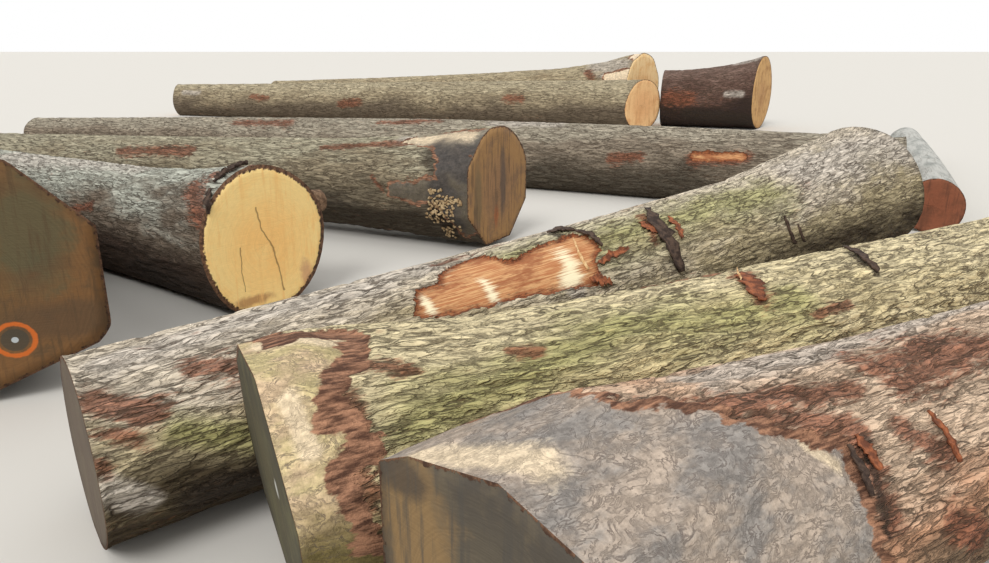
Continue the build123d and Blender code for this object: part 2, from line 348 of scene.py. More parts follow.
def stroke(stem, along, arc, mean_radius, pixels, half_width):
    """One at the middle of a stroke between two seen pixels, nought at its edge, below nought outside."""
    ends = [stem.seen(*pixel) for pixel in pixels]
    return 1 - gap_to_run(along, arc, *[(y, angle * mean_radius) for y, angle in ends]) / half_width


def patch(stem, along, arc, mean_radius, pixels):
    """Metres inside a patch whose corners are seen at these pixels, below nought outside it."""
    corners = []
    for pixel in pixels:
        y, angle = stem.seen(*pixel)
        # A corner by the sawn edge is carried past it
        inside = (stem.near[0] - stem.look(*pixel)[0]) @ stem.near[1]
        corners.append((y - FLAT_MARGIN * (inside < 0.05), angle * mean_radius))
    gap = np.full(along.shape, FAR_OFF)
    within = np.zeros(along.shape, bool)
    for start, end in zip(corners, corners[1:] + corners[:1]):
        gap = np.minimum(gap, gap_to_run(along, arc, start, end))
        crossing = (start[1] > arc) != (end[1] > arc)
        rise, run = end[0] - start[0], (end[1] - start[1]) or 1e-9
        within ^= crossing & (along < start[0] + (arc - start[1]) * rise / run)
    return np.where(within, gap, -gap)


def flat_depth(flat, knots, arc):
    """Distance in metres from each knot to the edge of the CAD flats: above nought inside them."""
    depth = np.full(flat.shape, NOT_HERE)
    if not flat.any():
        return depth
    edge = flat != np.roll(flat, 1, axis=1)
    edge[:-1] |= flat[:-1] != flat[1:]
    edge[0] = False
    along = knots[..., 1]
    near = along < along[flat].max() + FLAT_MARGIN
    border = np.stack([along[edge], arc[edge]], axis=1)
    gaps = [np.hypot(*(spot - border).T).min() for spot in np.stack([along, arc], axis=2)[near]]
    depth[near] = np.where(flat[near], gaps, -np.array(gaps))
    return depth

# %% [markdown]
# ## Shader arithmetic written as plain sums
#
# Bark and wood are sums and products of simple patterns. Wiring each sum by hand is slow to read, so one small
# class lets a node socket take part in Python arithmetic, and one method makes any other node. The patterns that
# come back often, such as a stretched cloud or its contour lines, get short names of their own.

# %% Sockets that take part in sums


class Value:
    """A number, colour or vector that a node gives out. Numbers can be added, multiplied and so on."""

    def __init__(self, net, socket):
        self.net = net
        self.socket = socket

    def __add__(self, other):
        return self.net.maths("ADD", self, other)

    def __mul__(self, other):
        return self.net.maths("MULTIPLY", self, other)

    def __sub__(self, other):
        return self.net.maths("SUBTRACT", self, other)

    def __rsub__(self, other):
        return self.net.maths("SUBTRACT", other, self)

    def __abs__(self):
        return self.net.maths("ABSOLUTE", self)

    __radd__ = __add__
    __rmul__ = __mul__


class Net:
    """A node tree, for shading or for geometry, that is filled by writing sums."""

    def __init__(self, tree):
        self.tree = tree
        self.shapes = tree.bl_idname == "GeometryNodeTree"

    def node(self, kind, settings=None, inputs=None, output=0):
        """Makes one node: its settings first, then the values or links of its sockets."""
        made = self.tree.nodes.new(kind)
        for key, value in (settings or {}).items():
            setattr(made, key, value)
        for key, value in (inputs or {}).items():
            if isinstance(value, Value):
                self.tree.links.new(value.socket, made.inputs[key])
            else:
                made.inputs[key].default_value = value
        return Value(self, made.outputs[output]) if made.outputs else None

    def maths(self, operation, *values, clamp=False):
        """A sum of numbers."""
        return self.node("ShaderNodeMath", {"operation": operation, "use_clamp": clamp}, dict(enumerate(values)))

    def vector(self, operation, *values, output=0, **named):
        """A sum of vectors. Output 1 is the number of those that give one."""
        inputs = {**dict(enumerate(values)), **named}
        return self.node("ShaderNodeVectorMath", {"operation": operation}, inputs, output)

    def field(self, name, kind="FLOAT"):
        """A named number or vector that the skin carries."""
        if self.shapes:
            settings = {"data_type": "FLOAT_VECTOR" if kind == "VECTOR" else "FLOAT"}
            return self.node("GeometryNodeInputNamedAttribute", settings, {"Name": name})
        output = "Vector" if kind == "VECTOR" else "Fac"
        return self.node("ShaderNodeAttribute", {"attribute_name": name}, output=output)

    def mix(self, share, one, other, way="MIX"):
        """One colour turning into the other as the share grows, or blended with it in another way."""
        one, other = (end if isinstance(end, Value) else (*end, 1.0) for end in (one, other))
        settings = {"data_type": "RGBA", "blend_type": way}
        return self.node("ShaderNodeMix", settings, {0: share, 6: one, 7: other}, output=2)

    def tint(self, colour, share, pattern, dark, light):
        """A colour multiplied by factors that go from dark to light with a pattern."""
        ends = [(end, end, end) if isinstance(end, float) else end for end in (dark, light)]
        return self.mix(share, colour, self.mix(pattern, *ends), "MULTIPLY")

    def rise(self, value, low, high):
        """Nought below low, one above high and an even curve between."""
        settings = {"interpolation_type": "SMOOTHSTEP"}
        return self.node("ShaderNodeMapRange", settings, {0: value, 1: low, 2: high, 3: 0.0, 4: 1.0})

    def stretch(self, vector, factors, shift=(0.0, 0.0, 0.0)):
        """A vector times one factor for each direction, then shifted."""
        scaled = self.vector("MULTIPLY", vector, factors)
        return self.vector("ADD", scaled, shift) if any(shift) else scaled

    def plus(self, one, other, share):
        """One vector with a share of another added."""
        return self.vector("ADD", one, self.vector("SCALE", other, Scale=share))

    def bend(self, place, push, share, keep=(1.0, 1.0, 1.0)):
        """A place pushed about by a coloured cloud, in the directions that are kept."""
        return self.plus(place, self.stretch(push, keep, tuple(-0.5 * k for k in keep)), share)

    def noise(self, vector, scale=1.0, detail=3.0, rough=0.55, output=0):
        """Soft random cloud between about 0.3 and 0.7."""
        values = {"Vector": vector, "Scale": scale, "Detail": detail, "Roughness": rough}
        return self.node("ShaderNodeTexNoise", {"noise_dimensions": "3D"}, values, output)

    def cloud(self, place, factors, detail, rough, output=0):
        """A cloud that is finer by one factor for each direction."""
        return self.noise(self.stretch(place, factors), 1.0, detail, rough, output)

    def contour(self, cloud, width):
        """Nought on the lines where a cloud crosses its middle value, one a little away from them."""
        return self.rise(abs(cloud - 0.5), 0.0, width)

    def cell_edge(self, vector, scale):
        """Distance to the nearest border between random cells."""
        settings = {"feature": "DISTANCE_TO_EDGE", "voronoi_dimensions": "3D"}
        return self.node("ShaderNodeTexVoronoi", settings, {"Vector": vector, "Scale": scale})


# %% [markdown]
# ## What oak bark is made of
#
# Oak bark splits into long plates as the stem swells. The plates are several times longer than wide, and the
# furrows between them run together into a net. A furrow is drawn where a soft cloud, stretched along the stem,
# crosses its middle value: such contour lines wander, fork and close like real furrows. Broad ridges are carved
# into the skin, and the narrow furrows, finer than the net of knots can hold, are left to the shader.

# %% Sums for bark
PLATE_WIDTH = 0.017
PLATE_LENGTH = 0.09


def ridge_height(net, grain):
    """One on the broad ridges of the bark, nought in the deep furrows between them."""
    place = net.stretch(grain, (30.0, 4.6, 30.0))
    bent = net.bend(place, net.noise(place, 0.5, 2.0, 0.5, output=1), 1.0)
    return net.contour(net.noise(bent, 0.8, 2.0, 0.5), 0.12)


def plate_height(net, grain):
    """One on the plates of the bark, nought at the bottom of a narrow furrow."""
    place = net.stretch(grain, (1 / PLATE_WIDTH, 1 / PLATE_LENGTH, 1 / PLATE_WIDTH))
    bent = net.bend(place, net.noise(place, 0.4, 2.0, 0.5, output=1), 1.3)
    broad = net.contour(net.noise(bent, 0.6, 3.0, 0.55), 0.06)
    narrow = net.contour(net.noise(bent, 1.3, 2.0, 0.5), 0.06)
    cross_crack = net.rise(net.cell_edge(bent, 0.8), 0.0, 0.1)
    return broad * (0.55 + 0.45 * narrow) * (0.75 + 0.25 * cross_crack)


def lost_bark(net, grain):
    """Metres inside a torn strip, with a ragged edge."""
    return net.field("torn") + 0.07 * (net.cloud(grain, (26.0, 12.0, 26.0), 4.0, 0.65) - 0.5)


def cut_depth(net, grain):
    """Metres inside the trimmed place, with a wavering edge, below nought on the bark."""
    return net.field("cut") + 0.1 * (net.cloud(grain, (22.0, 10.0, 22.0), 4.0, 0.65) - 0.5)


# %% [markdown]
# ## Carving the bark with Geometry Nodes
#
# The relief follows a rule, so a node tree makes it. Every knot moves towards the pith and never out, so the
# log keeps the CAD size: furrows go in by the furrow depth, and a torn strip goes in by the thickness of the
# bark. Sawn faces stay as they are. The tree ends by giving the bark and the sawn faces their materials.

# %% Node tree of the relief
BARK_THICKNESS = 0.022
FURROW_DEPTH = 0.012
HEWING_DEPTH = 0.004


def open_tree(name, numbers, materials):
    """A new Geometry Nodes tree with named inputs: the net that fills it, and its inputs by name."""
    tree = bpy.data.node_groups.new(name, "GeometryNodeTree")
    socket = tree.interface.new_socket
    socket("Geometry", in_out="INPUT", socket_type="NodeSocketGeometry")
    for title, value in numbers.items():
        socket(title, in_out="INPUT", socket_type="NodeSocketFloat").default_value = value
    for title in materials:
        socket(title, in_out="INPUT", socket_type="NodeSocketMaterial")
    socket("Geometry", in_out="OUTPUT", socket_type="NodeSocketGeometry")
    net = Net(tree)
    given = tree.nodes.new("NodeGroupInput")
    return net, {each.name: Value(net, each) for each in given.outputs if each.name}


def grown(mesh, tree, inputs):
    """What a node tree makes of a mesh, as a plain mesh."""
    base = bpy.data.objects.new("base", mesh)
    scene.collection.objects.link(base)
    modifier = base.modifiers.new("tree", "NODES")
    modifier.node_group = tree
    for item in tree.interface.items_tree:
        if item.in_out == "INPUT" and item.name in inputs:
            modifier[item.identifier] = inputs[item.name]
    seen_by = bpy.context.evaluated_depsgraph_get()
    made = bpy.data.meshes.new_from_object(base.evaluated_get(seen_by), depsgraph=seen_by)
    bpy.data.objects.remove(base)
    return made


def relief_tree():
    """Carves bark on a net that carries the named fields."""
    depths = {"Furrow depth": FURROW_DEPTH, "Bark thickness": BARK_THICKNESS, "Hewing depth": HEWING_DEPTH}
    net, asked = open_tree("bark relief", depths, ["Bark", "Sawn face"])
    grain = net.field("grain", "VECTOR")
    bare = net.rise(lost_bark(net, grain), 0.0, 0.012)
    trimmed = net.rise(cut_depth(net, grain), 0.0, 0.02)
    lumps = net.cloud(grain, (5.0, 2.5, 5.0), 2.0, 0.5)
    fibres = net.cloud(grain, (60.0, 4.0, 60.0), 2.0, 0.5)
    chips = net.cloud(grain, (14.0, 9.0, 14.0), 2.0, 0.5)
    furrows = ((1 - ridge_height(net, grain)) + 0.7 * lumps) * asked["Furrow depth"] * (1 - bare) * (1 - trimmed)
    strip = bare * (asked["Bark thickness"] + 0.006 * fibres) * (1 - trimmed)
    # Where the trimming runs past the CAD flat, the bark's thickness is gone as well
    past_flat = net.rise(-1 * net.field("flat"), 0.0, 0.12)
    flat = trimmed * (chips * asked["Hewing depth"] + past_flat * asked["Bark thickness"] * 0.8)
    # The knots on sawn faces and those that bear on the ground keep their place
    side = 1 - net.field("cap")
    lifted = net.rise(net.field("lift"), 0.004, 0.05)
    depth = (furrows + strip + flat) * side * lifted * net.rise(net.field("edge"), 0.0, 0.012)
    offset = net.vector("SCALE", net.field("inward", "VECTOR"), Scale=depth)
    moved = net.node("GeometryNodeSetPosition", {}, {"Geometry": asked["Geometry"], "Offset": offset})
    whole = net.node("GeometryNodeRealizeInstances", {}, {"Geometry": moved})
    barked = net.node("GeometryNodeSetMaterial", {}, {"Geometry": whole, "Material": asked["Bark"]})
    is_more = {"data_type": "FLOAT", "operation": "GREATER_THAN"}
    on_face = net.node("FunctionNodeCompare", is_more, {0: net.field("cap"), 1: 0.99})
    ends = {"Geometry": barked, "Selection": on_face, "Material": asked["Sawn face"]}
    net.node("NodeGroupOutput", {}, {0: net.node("GeometryNodeSetMaterial", {}, ends)})
    return net.tree


bark_relief = relief_tree()
print("relief tree has", len(bark_relief.nodes), "nodes")

# %% [markdown]
# ## Colours of each log
#
# Colour tells the logs apart. Dry bark is grey beige, damp bark is olive brown, algae grow yellow green on the
# upper flank, and bark that was scraped in dragging shows its red-brown inside. The bark darkens from its top to
# its flank and its low side, partly as dry and damp bark and partly as painted shade. The tables below give screen
# colours, and the renderer takes linear ones, so each is turned where it is used.

# %% Screen colours to linear


def paint(red, green, blue):
    """A screen colour, 0 to 255, as the linear one a shader takes."""
    shares = [c / 255 for c in (red, green, blue)]
    return tuple(s / 12.92 if s < 0.0405 else ((s + 0.055) / 1.055) ** 2.4 for s in shares)


# Dry, damp and low bark, and how readily algae grow on it; the damp and low tones are partly painted shade
BARKS = {
    "hewn_butt_log": ((230, 202, 174), (212, 162, 128), (140, 116, 92), 0.05),
    "mossy_log": ((240, 224, 182), (232, 214, 164), (140, 122, 82), 0.3),
    "torn_bark_log": ((234, 220, 198), (206, 190, 152), (76, 64, 46), 0.35),
    "ringed_butt_log": ((96, 80, 62), (64, 50, 38), (44, 34, 26), 0.0),
    "fresh_sawn_log": ((204, 206, 192), (136, 122, 106), (76, 60, 50), 0.1),
    "octagon_end_log": ((192, 184, 158), (164, 150, 124), (84, 76, 64), 0.2),
    "long_grey_log": ((192, 182, 162), (158, 144, 126), (98, 90, 78), 0.1),
    "far_slim_log": ((210, 196, 164), (182, 166, 136), (126, 112, 94), 0.2),
    "far_flared_log": ((210, 194, 160), (182, 162, 130), (128, 112, 92), 0.2),
    "far_dark_log": ((142, 116, 104), (108, 82, 72), (60, 46, 42), 0.0),
}
ALGAE = paint(178, 176, 108)
INNER_BARK = paint(124, 74, 54)
WORN_BARK = paint(178, 112, 82)
# Dark tone of the furrows, partly the bark's own colour and partly painted shade
DEEP_FURROW = paint(66, 52, 38)
BARE_WOOD = paint(186, 122, 80)
RAW_WOOD = paint(224, 176, 124)
BRIGHT_WOOD = paint(252, 238, 200)
print(len(BARKS), "barks")

# %% [markdown]
# ## The bark material
#
# The shader draws the plates and their narrow furrows, darkens the furrows, and gives each plate its own tone. The
# darker furrows are partly the bark's own colour and partly painted shade. Over that come the large patches: dry
# bark above, damp bark on the flank and dark wet bark low down, algae and scraped spots. The dry, damp and low bark
# follow the way the bark faces, so they are partly damp and partly painted shade that darkens each stem towards the
# bottom. Where a strip is torn off, the rim shows red-brown inner bark and the middle shows wood with long fibres.
# Where the butt is trimmed, the cut bark is a brown band round the wood, and the wood itself is weathered, with
# curling scuffs left by the saw and by dragging, and a darker tone low on the flank that is painted shade. A log
# that has no such place goes without its sums.

# %% Bark shader


def open_finish(name):
    """A new material and the net that fills it."""
    made = bpy.data.materials.new(name)
    made.use_nodes = True
    return made, Net(made.node_tree)


def close_finish(made, net, colour, height, distance, strength=1.0, roughness=0.9, gloss=0.25):
    """Feeds the surface with its colour and with bumps from a height, and sets its sheen."""
    surface = made.node_tree.nodes["Principled BSDF"]
    surface.inputs["Roughness"].default_value = roughness
    surface.inputs["Specular IOR Level"].default_value = gloss
    bump = net.node("ShaderNodeBump", {}, {"Strength": strength, "Distance": distance, "Height": height})
    made.node_tree.links.new(colour.socket, surface.inputs["Base Color"])
    made.node_tree.links.new(bump.socket, surface.inputs["Normal"])
    return made


def trimmed_wood(net, grain, up, wood, stain, low):
    """Colour and marks of a weathered flat that a saw or an axe has left."""
    stains = net.cloud(grain, (8.0, 4.0, 8.0), 5.0, 0.65)
    kerfs = net.cloud(grain, (40.0, 110.0, 60.0), 3.0, 0.6)
    fuzz = net.cloud(grain, (34.0, 22.0, 34.0), 6.0, 0.75)
    dust = net.cloud(grain, (150.0, 90.0, 150.0), 3.0, 0.7)
    swirl = net.cloud(grain, (6.0, 4.0, 6.0), 3.0, 0.6, output=1)
    curled = net.bend(net.stretch(grain, (26.0, 13.0, 26.0)), swirl, 7.0)
    scuffs = 1 - net.contour(net.noise(curled, 1.0, 4.0, 0.7), 0.05)
    colour = net.mix(net.rise(stains, 0.38, 0.62), wood, stain)
    # Painted shade: the flat turns to its darker low tone where it faces down
    colour = net.mix(net.rise(up + 0.8 * (stains - 0.5), 0.0, 0.45), low, colour)
    cream = net.rise(net.field("pale") + 1.6 * (stains - 0.5) + 1.2 * (fuzz - 0.5), 0.0, 0.7)
    colour = net.mix(cream * 0.85, colour, paint(232, 212, 180))
    gloom = net.rise(net.field("dark") + 1.4 * (stains - 0.5) + 1.0 * (fuzz - 0.5), 0.0, 0.6)
    colour = net.mix(gloom * 0.85, colour, paint(74, 70, 68))
    scuff_share = scuffs * net.rise(fuzz, 0.4, 0.6) * 0.75 * (1 - 0.6 * cream)
    colour = net.mix(scuff_share, colour, paint(92, 82, 76))
    colour = net.tint(colour, 0.8, net.rise(fuzz, 0.3, 0.7), (0.58, 0.57, 0.56), (1.36, 1.35, 1.33))
    colour = net.tint(colour, 0.7, kerfs, (0.7, 0.68, 0.68), (1.28, 1.28, 1.27))
    return net.tint(colour, 0.7, dust, 0.66, 1.32), kerfs + dust + fuzz + scuffs * -0.5


def bark_material(name, dry_and_lit_tone, damp_and_shade_tone, low, green, wood, stain, cut_low_shade_tone, band_width):
    """Furrowed bark with its torn, scraped and trimmed places."""
    made, net = open_finish(f"{name}_bark")
    grain = net.field("grain", "VECTOR")
    up = net.field("up")
    plates = plate_height(net, grain)
    wide = net.cloud(grain, (3.2, 1.1, 3.2), 3.0, 0.6)
    middle = net.cloud(grain, (11.0, 4.0, 11.0), 4.0, 0.62)
    fine = net.cloud(grain, (160.0, 60.0, 160.0), 3.0, 0.7)
    streak = net.cloud(grain, (75.0, 14.0, 75.0), 4.0, 0.65)
    # Facing up or down and patches of damp: darker low down, partly damp bark and partly painted shade
    damp_and_shade_share = net.rise(up + 1.6 * (wide - 0.5) + 0.5 * (middle - 0.5), -0.35, 0.35)
    colour = net.mix(damp_and_shade_share, paint(*low), paint(*damp_and_shade_tone))
    dry_and_lit_share = net.rise(up + 2.2 * (wide - 0.5) + 0.9 * (middle - 0.5), 0.2, 0.95)
    colour = net.mix(dry_and_lit_share, colour, paint(*dry_and_lit_tone))
    algae_share = net.rise(net.field("moss") + 1.1 * middle + 0.9 * (wide - 0.5), 1.0 - green, 1.9 - green)
    colour = net.mix(algae_share * 0.75 * net.rise(up, -0.5, 0.3), colour, ALGAE)
    pale_share = net.rise(net.field("pale") + 1.2 * (middle - 0.5), 0.0, 0.7)
    colour = net.mix(pale_share * 0.7, colour, paint(224, 214, 202))
    colour = net.tint(colour, 1.0, streak, (0.62, 0.6, 0.58), (1.4, 1.4, 1.38))
    # Scraped spots
    ragged = 2.0 * (streak - 0.5) + 1.8 * (middle - 0.5)
    scuffed = net.rise(net.field("scuff") + ragged, 0.1, 0.75)
    stray = net.rise(streak + 0.8 * (wide - 0.5) + 0.5 * (middle - 0.5), 0.66, 0.86)
    reddish = net.mix(net.rise(fine + 0.8 * (streak - 0.5), 0.35, 0.75), INNER_BARK, WORN_BARK)
    colour = net.mix(scuffed * 0.85 + stray * 0.5 * (1 - scuffed), colour, reddish)
    dark_share = net.rise(net.field("dark") + 1.0 * (middle - 0.5), 0.0, 0.6)
    colour = net.mix(dark_share * 0.75, colour, paint(58, 50, 44))
    # Furrows, darker partly by the bark's own colour and partly as painted shade in the hollows
    deepness = net.rise(middle + 0.5 * (fine - 0.5), 0.3, 0.6)
    hollow = (1 - net.rise(plates, 0.05, 0.7)) * (0.35 + 0.65 * deepness)
    colour = net.mix(hollow * 0.78, colour, DEEP_FURROW)
    colour = net.mix((1 - ridge_height(net, grain)) * 0.3, colour, DEEP_FURROW)
    rough = plates + 0.25 * fine
    # Torn strips: red-brown rim, then wood with fibres along the grain
    if PATCHES.get(name, [""])[0] == "torn" or "torn" in STROKES.get(name, {}):
        lost = lost_bark(net, grain)
        fibres = net.cloud(grain, (170.0, 6.0, 170.0), 3.0, 0.6)
        torn_wood = net.mix(net.rise(fibres + 0.5 * (middle - 0.5), 0.36, 0.62), BARE_WOOD, RAW_WOOD)
        brown = net.rise(middle + 0.4 * (streak - 0.5), 0.46, 0.64) * 0.8
        torn_wood = net.mix(brown, torn_wood, paint(150, 84, 52))
        bright = net.rise(net.field("pale") + 3.2 * (fibres - 0.5) + 2.0 * (middle - 0.5), -0.1, 1.0)
        torn_wood = net.mix(bright, torn_wood, BRIGHT_WOOD)
        rim = net.mix(net.rise(fine, 0.35, 0.7), paint(84, 48, 34), paint(164, 94, 56))
        torn_colour = net.mix(net.rise(lost + 0.1 * (streak - 0.5), 0.004, 0.05), rim, torn_wood)
        colour = net.mix(net.rise(lost, 0.0, 0.006), colour, torn_colour)
        bare = net.rise(lost, 0.0, 0.01)
        rough = rough * (1 - bare) + 0.3 * fibres * bare
    # Trimmed butt: weathered wood, with the cut bark round it
    if name in HEWN_RUNS:
        cut = cut_depth(net, grain)
        flat, marks = trimmed_wood(net, grain, up, *(paint(*tone) for tone in (wood, stain, cut_low_shade_tone)))
        band_share = net.rise(streak + 0.6 * (middle - 0.5), 0.35, 0.7)
        band = net.tint(net.mix(band_share, paint(88, 60, 46), paint(184, 136, 106)), 0.7, fine, 0.6, 1.4)
        flat = net.mix(net.rise(cut + 0.05 * (middle - 0.5), band_width, band_width + 0.012), band, flat)
        colour = net.mix(net.rise(cut, 0.0, 0.008), colour, flat)
        cleared = net.rise(cut, 0.0, 0.01)
        rough = rough * (1 - cleared) + 0.22 * marks * cleared
    return close_finish(made, net, colour, rough, 0.011)


# %% [markdown]
# ## A stem that has lost its bark
#
# The pale log has stood dead for years. Its bark is gone and the sun has bleached the wood to a silvery white,
# with hair cracks along the grain. No plates here: long thin fibres, a few cracks and grey water stains.

# %% Bleached wood shader


def bleached_material(name):
    """Silvery bare wood with hair cracks along the grain."""
    made, net = open_finish(f"{name}_bleached")
    grain = net.field("grain", "VECTOR")
    stains = net.cloud(grain, (6.0, 2.0, 6.0), 4.0, 0.65)
    fibres = net.cloud(grain, (120.0, 5.0, 120.0), 3.0, 0.6)
    cracks = 1 - net.contour(net.cloud(grain, (18.0, 1.6, 18.0), 3.0, 0.55), 0.016)
    colour = net.mix(net.rise(stains, 0.42, 0.66), paint(190, 189, 182), paint(142, 144, 138))
    colour = net.tint(colour, 0.6, fibres, (0.72, 0.72, 0.71), 1.2)
    colour = net.mix(cracks * 0.6, colour, paint(112, 104, 92))
    colour = net.mix(net.rise(net.field("dark") + 0.3 * (stains - 0.5), 0.0, 0.3), colour, paint(40, 32, 26))
    worn = net.rise(net.field("scuff") + 1.2 * (fibres - 0.5) + 1.0 * (stains - 0.5), 0.0, 0.5)
    colour = net.mix(worn * 0.8, colour, paint(136, 86, 62))
    return close_finish(made, net, colour, 0.5 * fibres - 0.8 * cracks, 0.004, 0.7, 0.75, 0.3)

# %% [markdown]
# ## The sawn faces
#
# A sawn face shows growth rings round the pith, a darker heart, a pale band of sapwood and the bark's edge. The
# rings are a noise of the distance to the pith alone, so that no two are the same width. Old faces are grey or
# brown and streaked by the weather, with cracks that run out from the pith. Fresh ones are bright. Ribs left by
# the chain saw cross the rings. Single stains and long splits are placed by the spot where they are seen.

# %% Sawn face shader
ON_FACE = (1.0, 0.0, 1.0)


def gap_to_line(net, place, start, end):
    """Distance on a sawn face to a straight line between two spots of it."""
    way = (end[0] - start[0], 0.0, end[1] - start[1])
    from_start = net.stretch(place, ON_FACE, (-start[0], 0.0, -start[1]))
    along = net.vector("DOT_PRODUCT", from_start, way, output=1)
    share = net.maths("DIVIDE", along, way[0] ** 2 + way[2] ** 2, clamp=True)
    apart = net.vector("SUBTRACT", from_start, net.vector("SCALE", way, Scale=share))
    return net.vector("LENGTH", apart, output=1)


def gap_to_spot(net, place, spot, wide=1.0, high=1.0):
    """Distance on a sawn face to a spot of it, in widths and heights of an oval."""
    across, over = spot
    near = net.stretch(place, (1 / wide, 0.0, 1 / high), (-across / wide, 0.0, -over / high))
    return net.vector("LENGTH", near, output=1)


def sawn_material(
    name, heart, sap, stain, streak, crack=0.6, rings=0.25, bark_rim=0.012, spots=(), splits=(), ring=None
):
    """End grain with rings, cracks, saw ribs and weather stains, and what was sprayed on it."""
    stem = stems[name]
    made, net = open_finish(f"{name}_sawn_face")
    grain = net.field("grain", "VECTOR")
    front = net.field("front")
    place = net.stretch(grain, ON_FACE)
    warp = net.noise(place, 5.0, 3.0, 0.55, output=1)
    bent = net.bend(place, warp, 0.07, ON_FACE)
    distance = net.vector("LENGTH", bent, output=1)
    ring_tone = net.noise(net.node("ShaderNodeCombineXYZ", {}, {0: distance * 120.0}), 1.0, 2.0, 0.6)
    patches = net.noise(place, 6.0, 5.0, 0.65)
    ragged = net.noise(place, 38.0, 3.0, 0.65)
    colour = net.mix(net.rise(distance + 0.2 * (patches - 0.5), 0.1, 0.36), paint(*heart), paint(*sap))
    colour = net.mix(net.rise(patches, 0.45, 0.66), colour, paint(*stain))
    for x, y, wide, high, tone, share in spots:
        away = gap_to_spot(net, place, stem.on_face(x, y), wide, high) + 2.2 * (patches - 0.5)
        colour = net.mix((1 - net.rise(away, 0.5, 1.2)) * share * front, colour, paint(*tone))
    colour = net.tint(colour, rings, net.rise(ring_tone, 0.3, 0.7), (0.6, 0.55, 0.5), (1.16, 1.13, 1.1))
    runs = net.cloud(grain, (38.0, 2.0, 3.0), 4.0, 0.65)
    colour = net.mix(net.rise(runs, 0.5, 0.68) * 0.65, colour, paint(*streak))
    ribs = net.cloud(grain, (6.0, 2.0, 160.0), 2.0, 0.5)
    colour = net.tint(colour, 0.35, ragged, 0.7, 1.25)
    # Cracks run out from the pith and thin towards the bark
    split = net.cell_edge(net.plus(net.vector("NORMALIZE", bent), warp, 0.35), 2.3)
    open_split = (1 - net.rise(split + 0.30 * distance, 0.012, 0.045)) * crack
    for start, end, width in splits:
        line = gap_to_line(net, bent, stem.on_face(*start), stem.on_face(*end))
        seam = (1 - net.rise(line, width * 0.4, width)) * 0.6 * front
        open_split = net.maths("MAXIMUM", open_split, seam)
    colour = net.mix(open_split, colour, paint(84, 54, 30))
    if ring:
        x, y, radius = ring
        reach = gap_to_spot(net, place, stem.on_face(x, y))
        inside = (1 - net.rise(reach, radius * 0.66, radius * 0.74)) * 0.8 * front
        dot = (1 - net.rise(reach, radius * 0.16, radius * 0.2)) * front
        spray = (1 - net.rise(abs(reach + 0.012 * (ragged - 0.5) - radius), 0.006, 0.013)) * 0.85 * front
        for share, tone in ((inside, (70, 66, 56)), (dot, (178, 184, 186)), (spray, (206, 104, 40))):
            colour = net.mix(share, colour, paint(*tone))
    bark_edge = 1 - net.rise(net.field("edge") + 0.05 * (ragged - 0.5), bark_rim * 0.75, bark_rim)
    colour = net.mix(bark_edge, colour, net.mix(net.rise(ragged, 0.35, 0.65), paint(66, 46, 34), paint(128, 94, 70)))
    rough = 0.5 * ribs + 0.2 * ring_tone - 1.2 * open_split - 0.6 * bark_edge
    return close_finish(made, net, colour, rough, 0.004, 0.7, 0.85)


# %% [markdown]
# ## What is seen on each log
#
# Each stroke names two pixels of the photo between which it runs, and its half width in metres, under the kind of
# mark that it is. Each patch names its corners in pixels. They are read off the photo once, and each is followed
# onto its log.

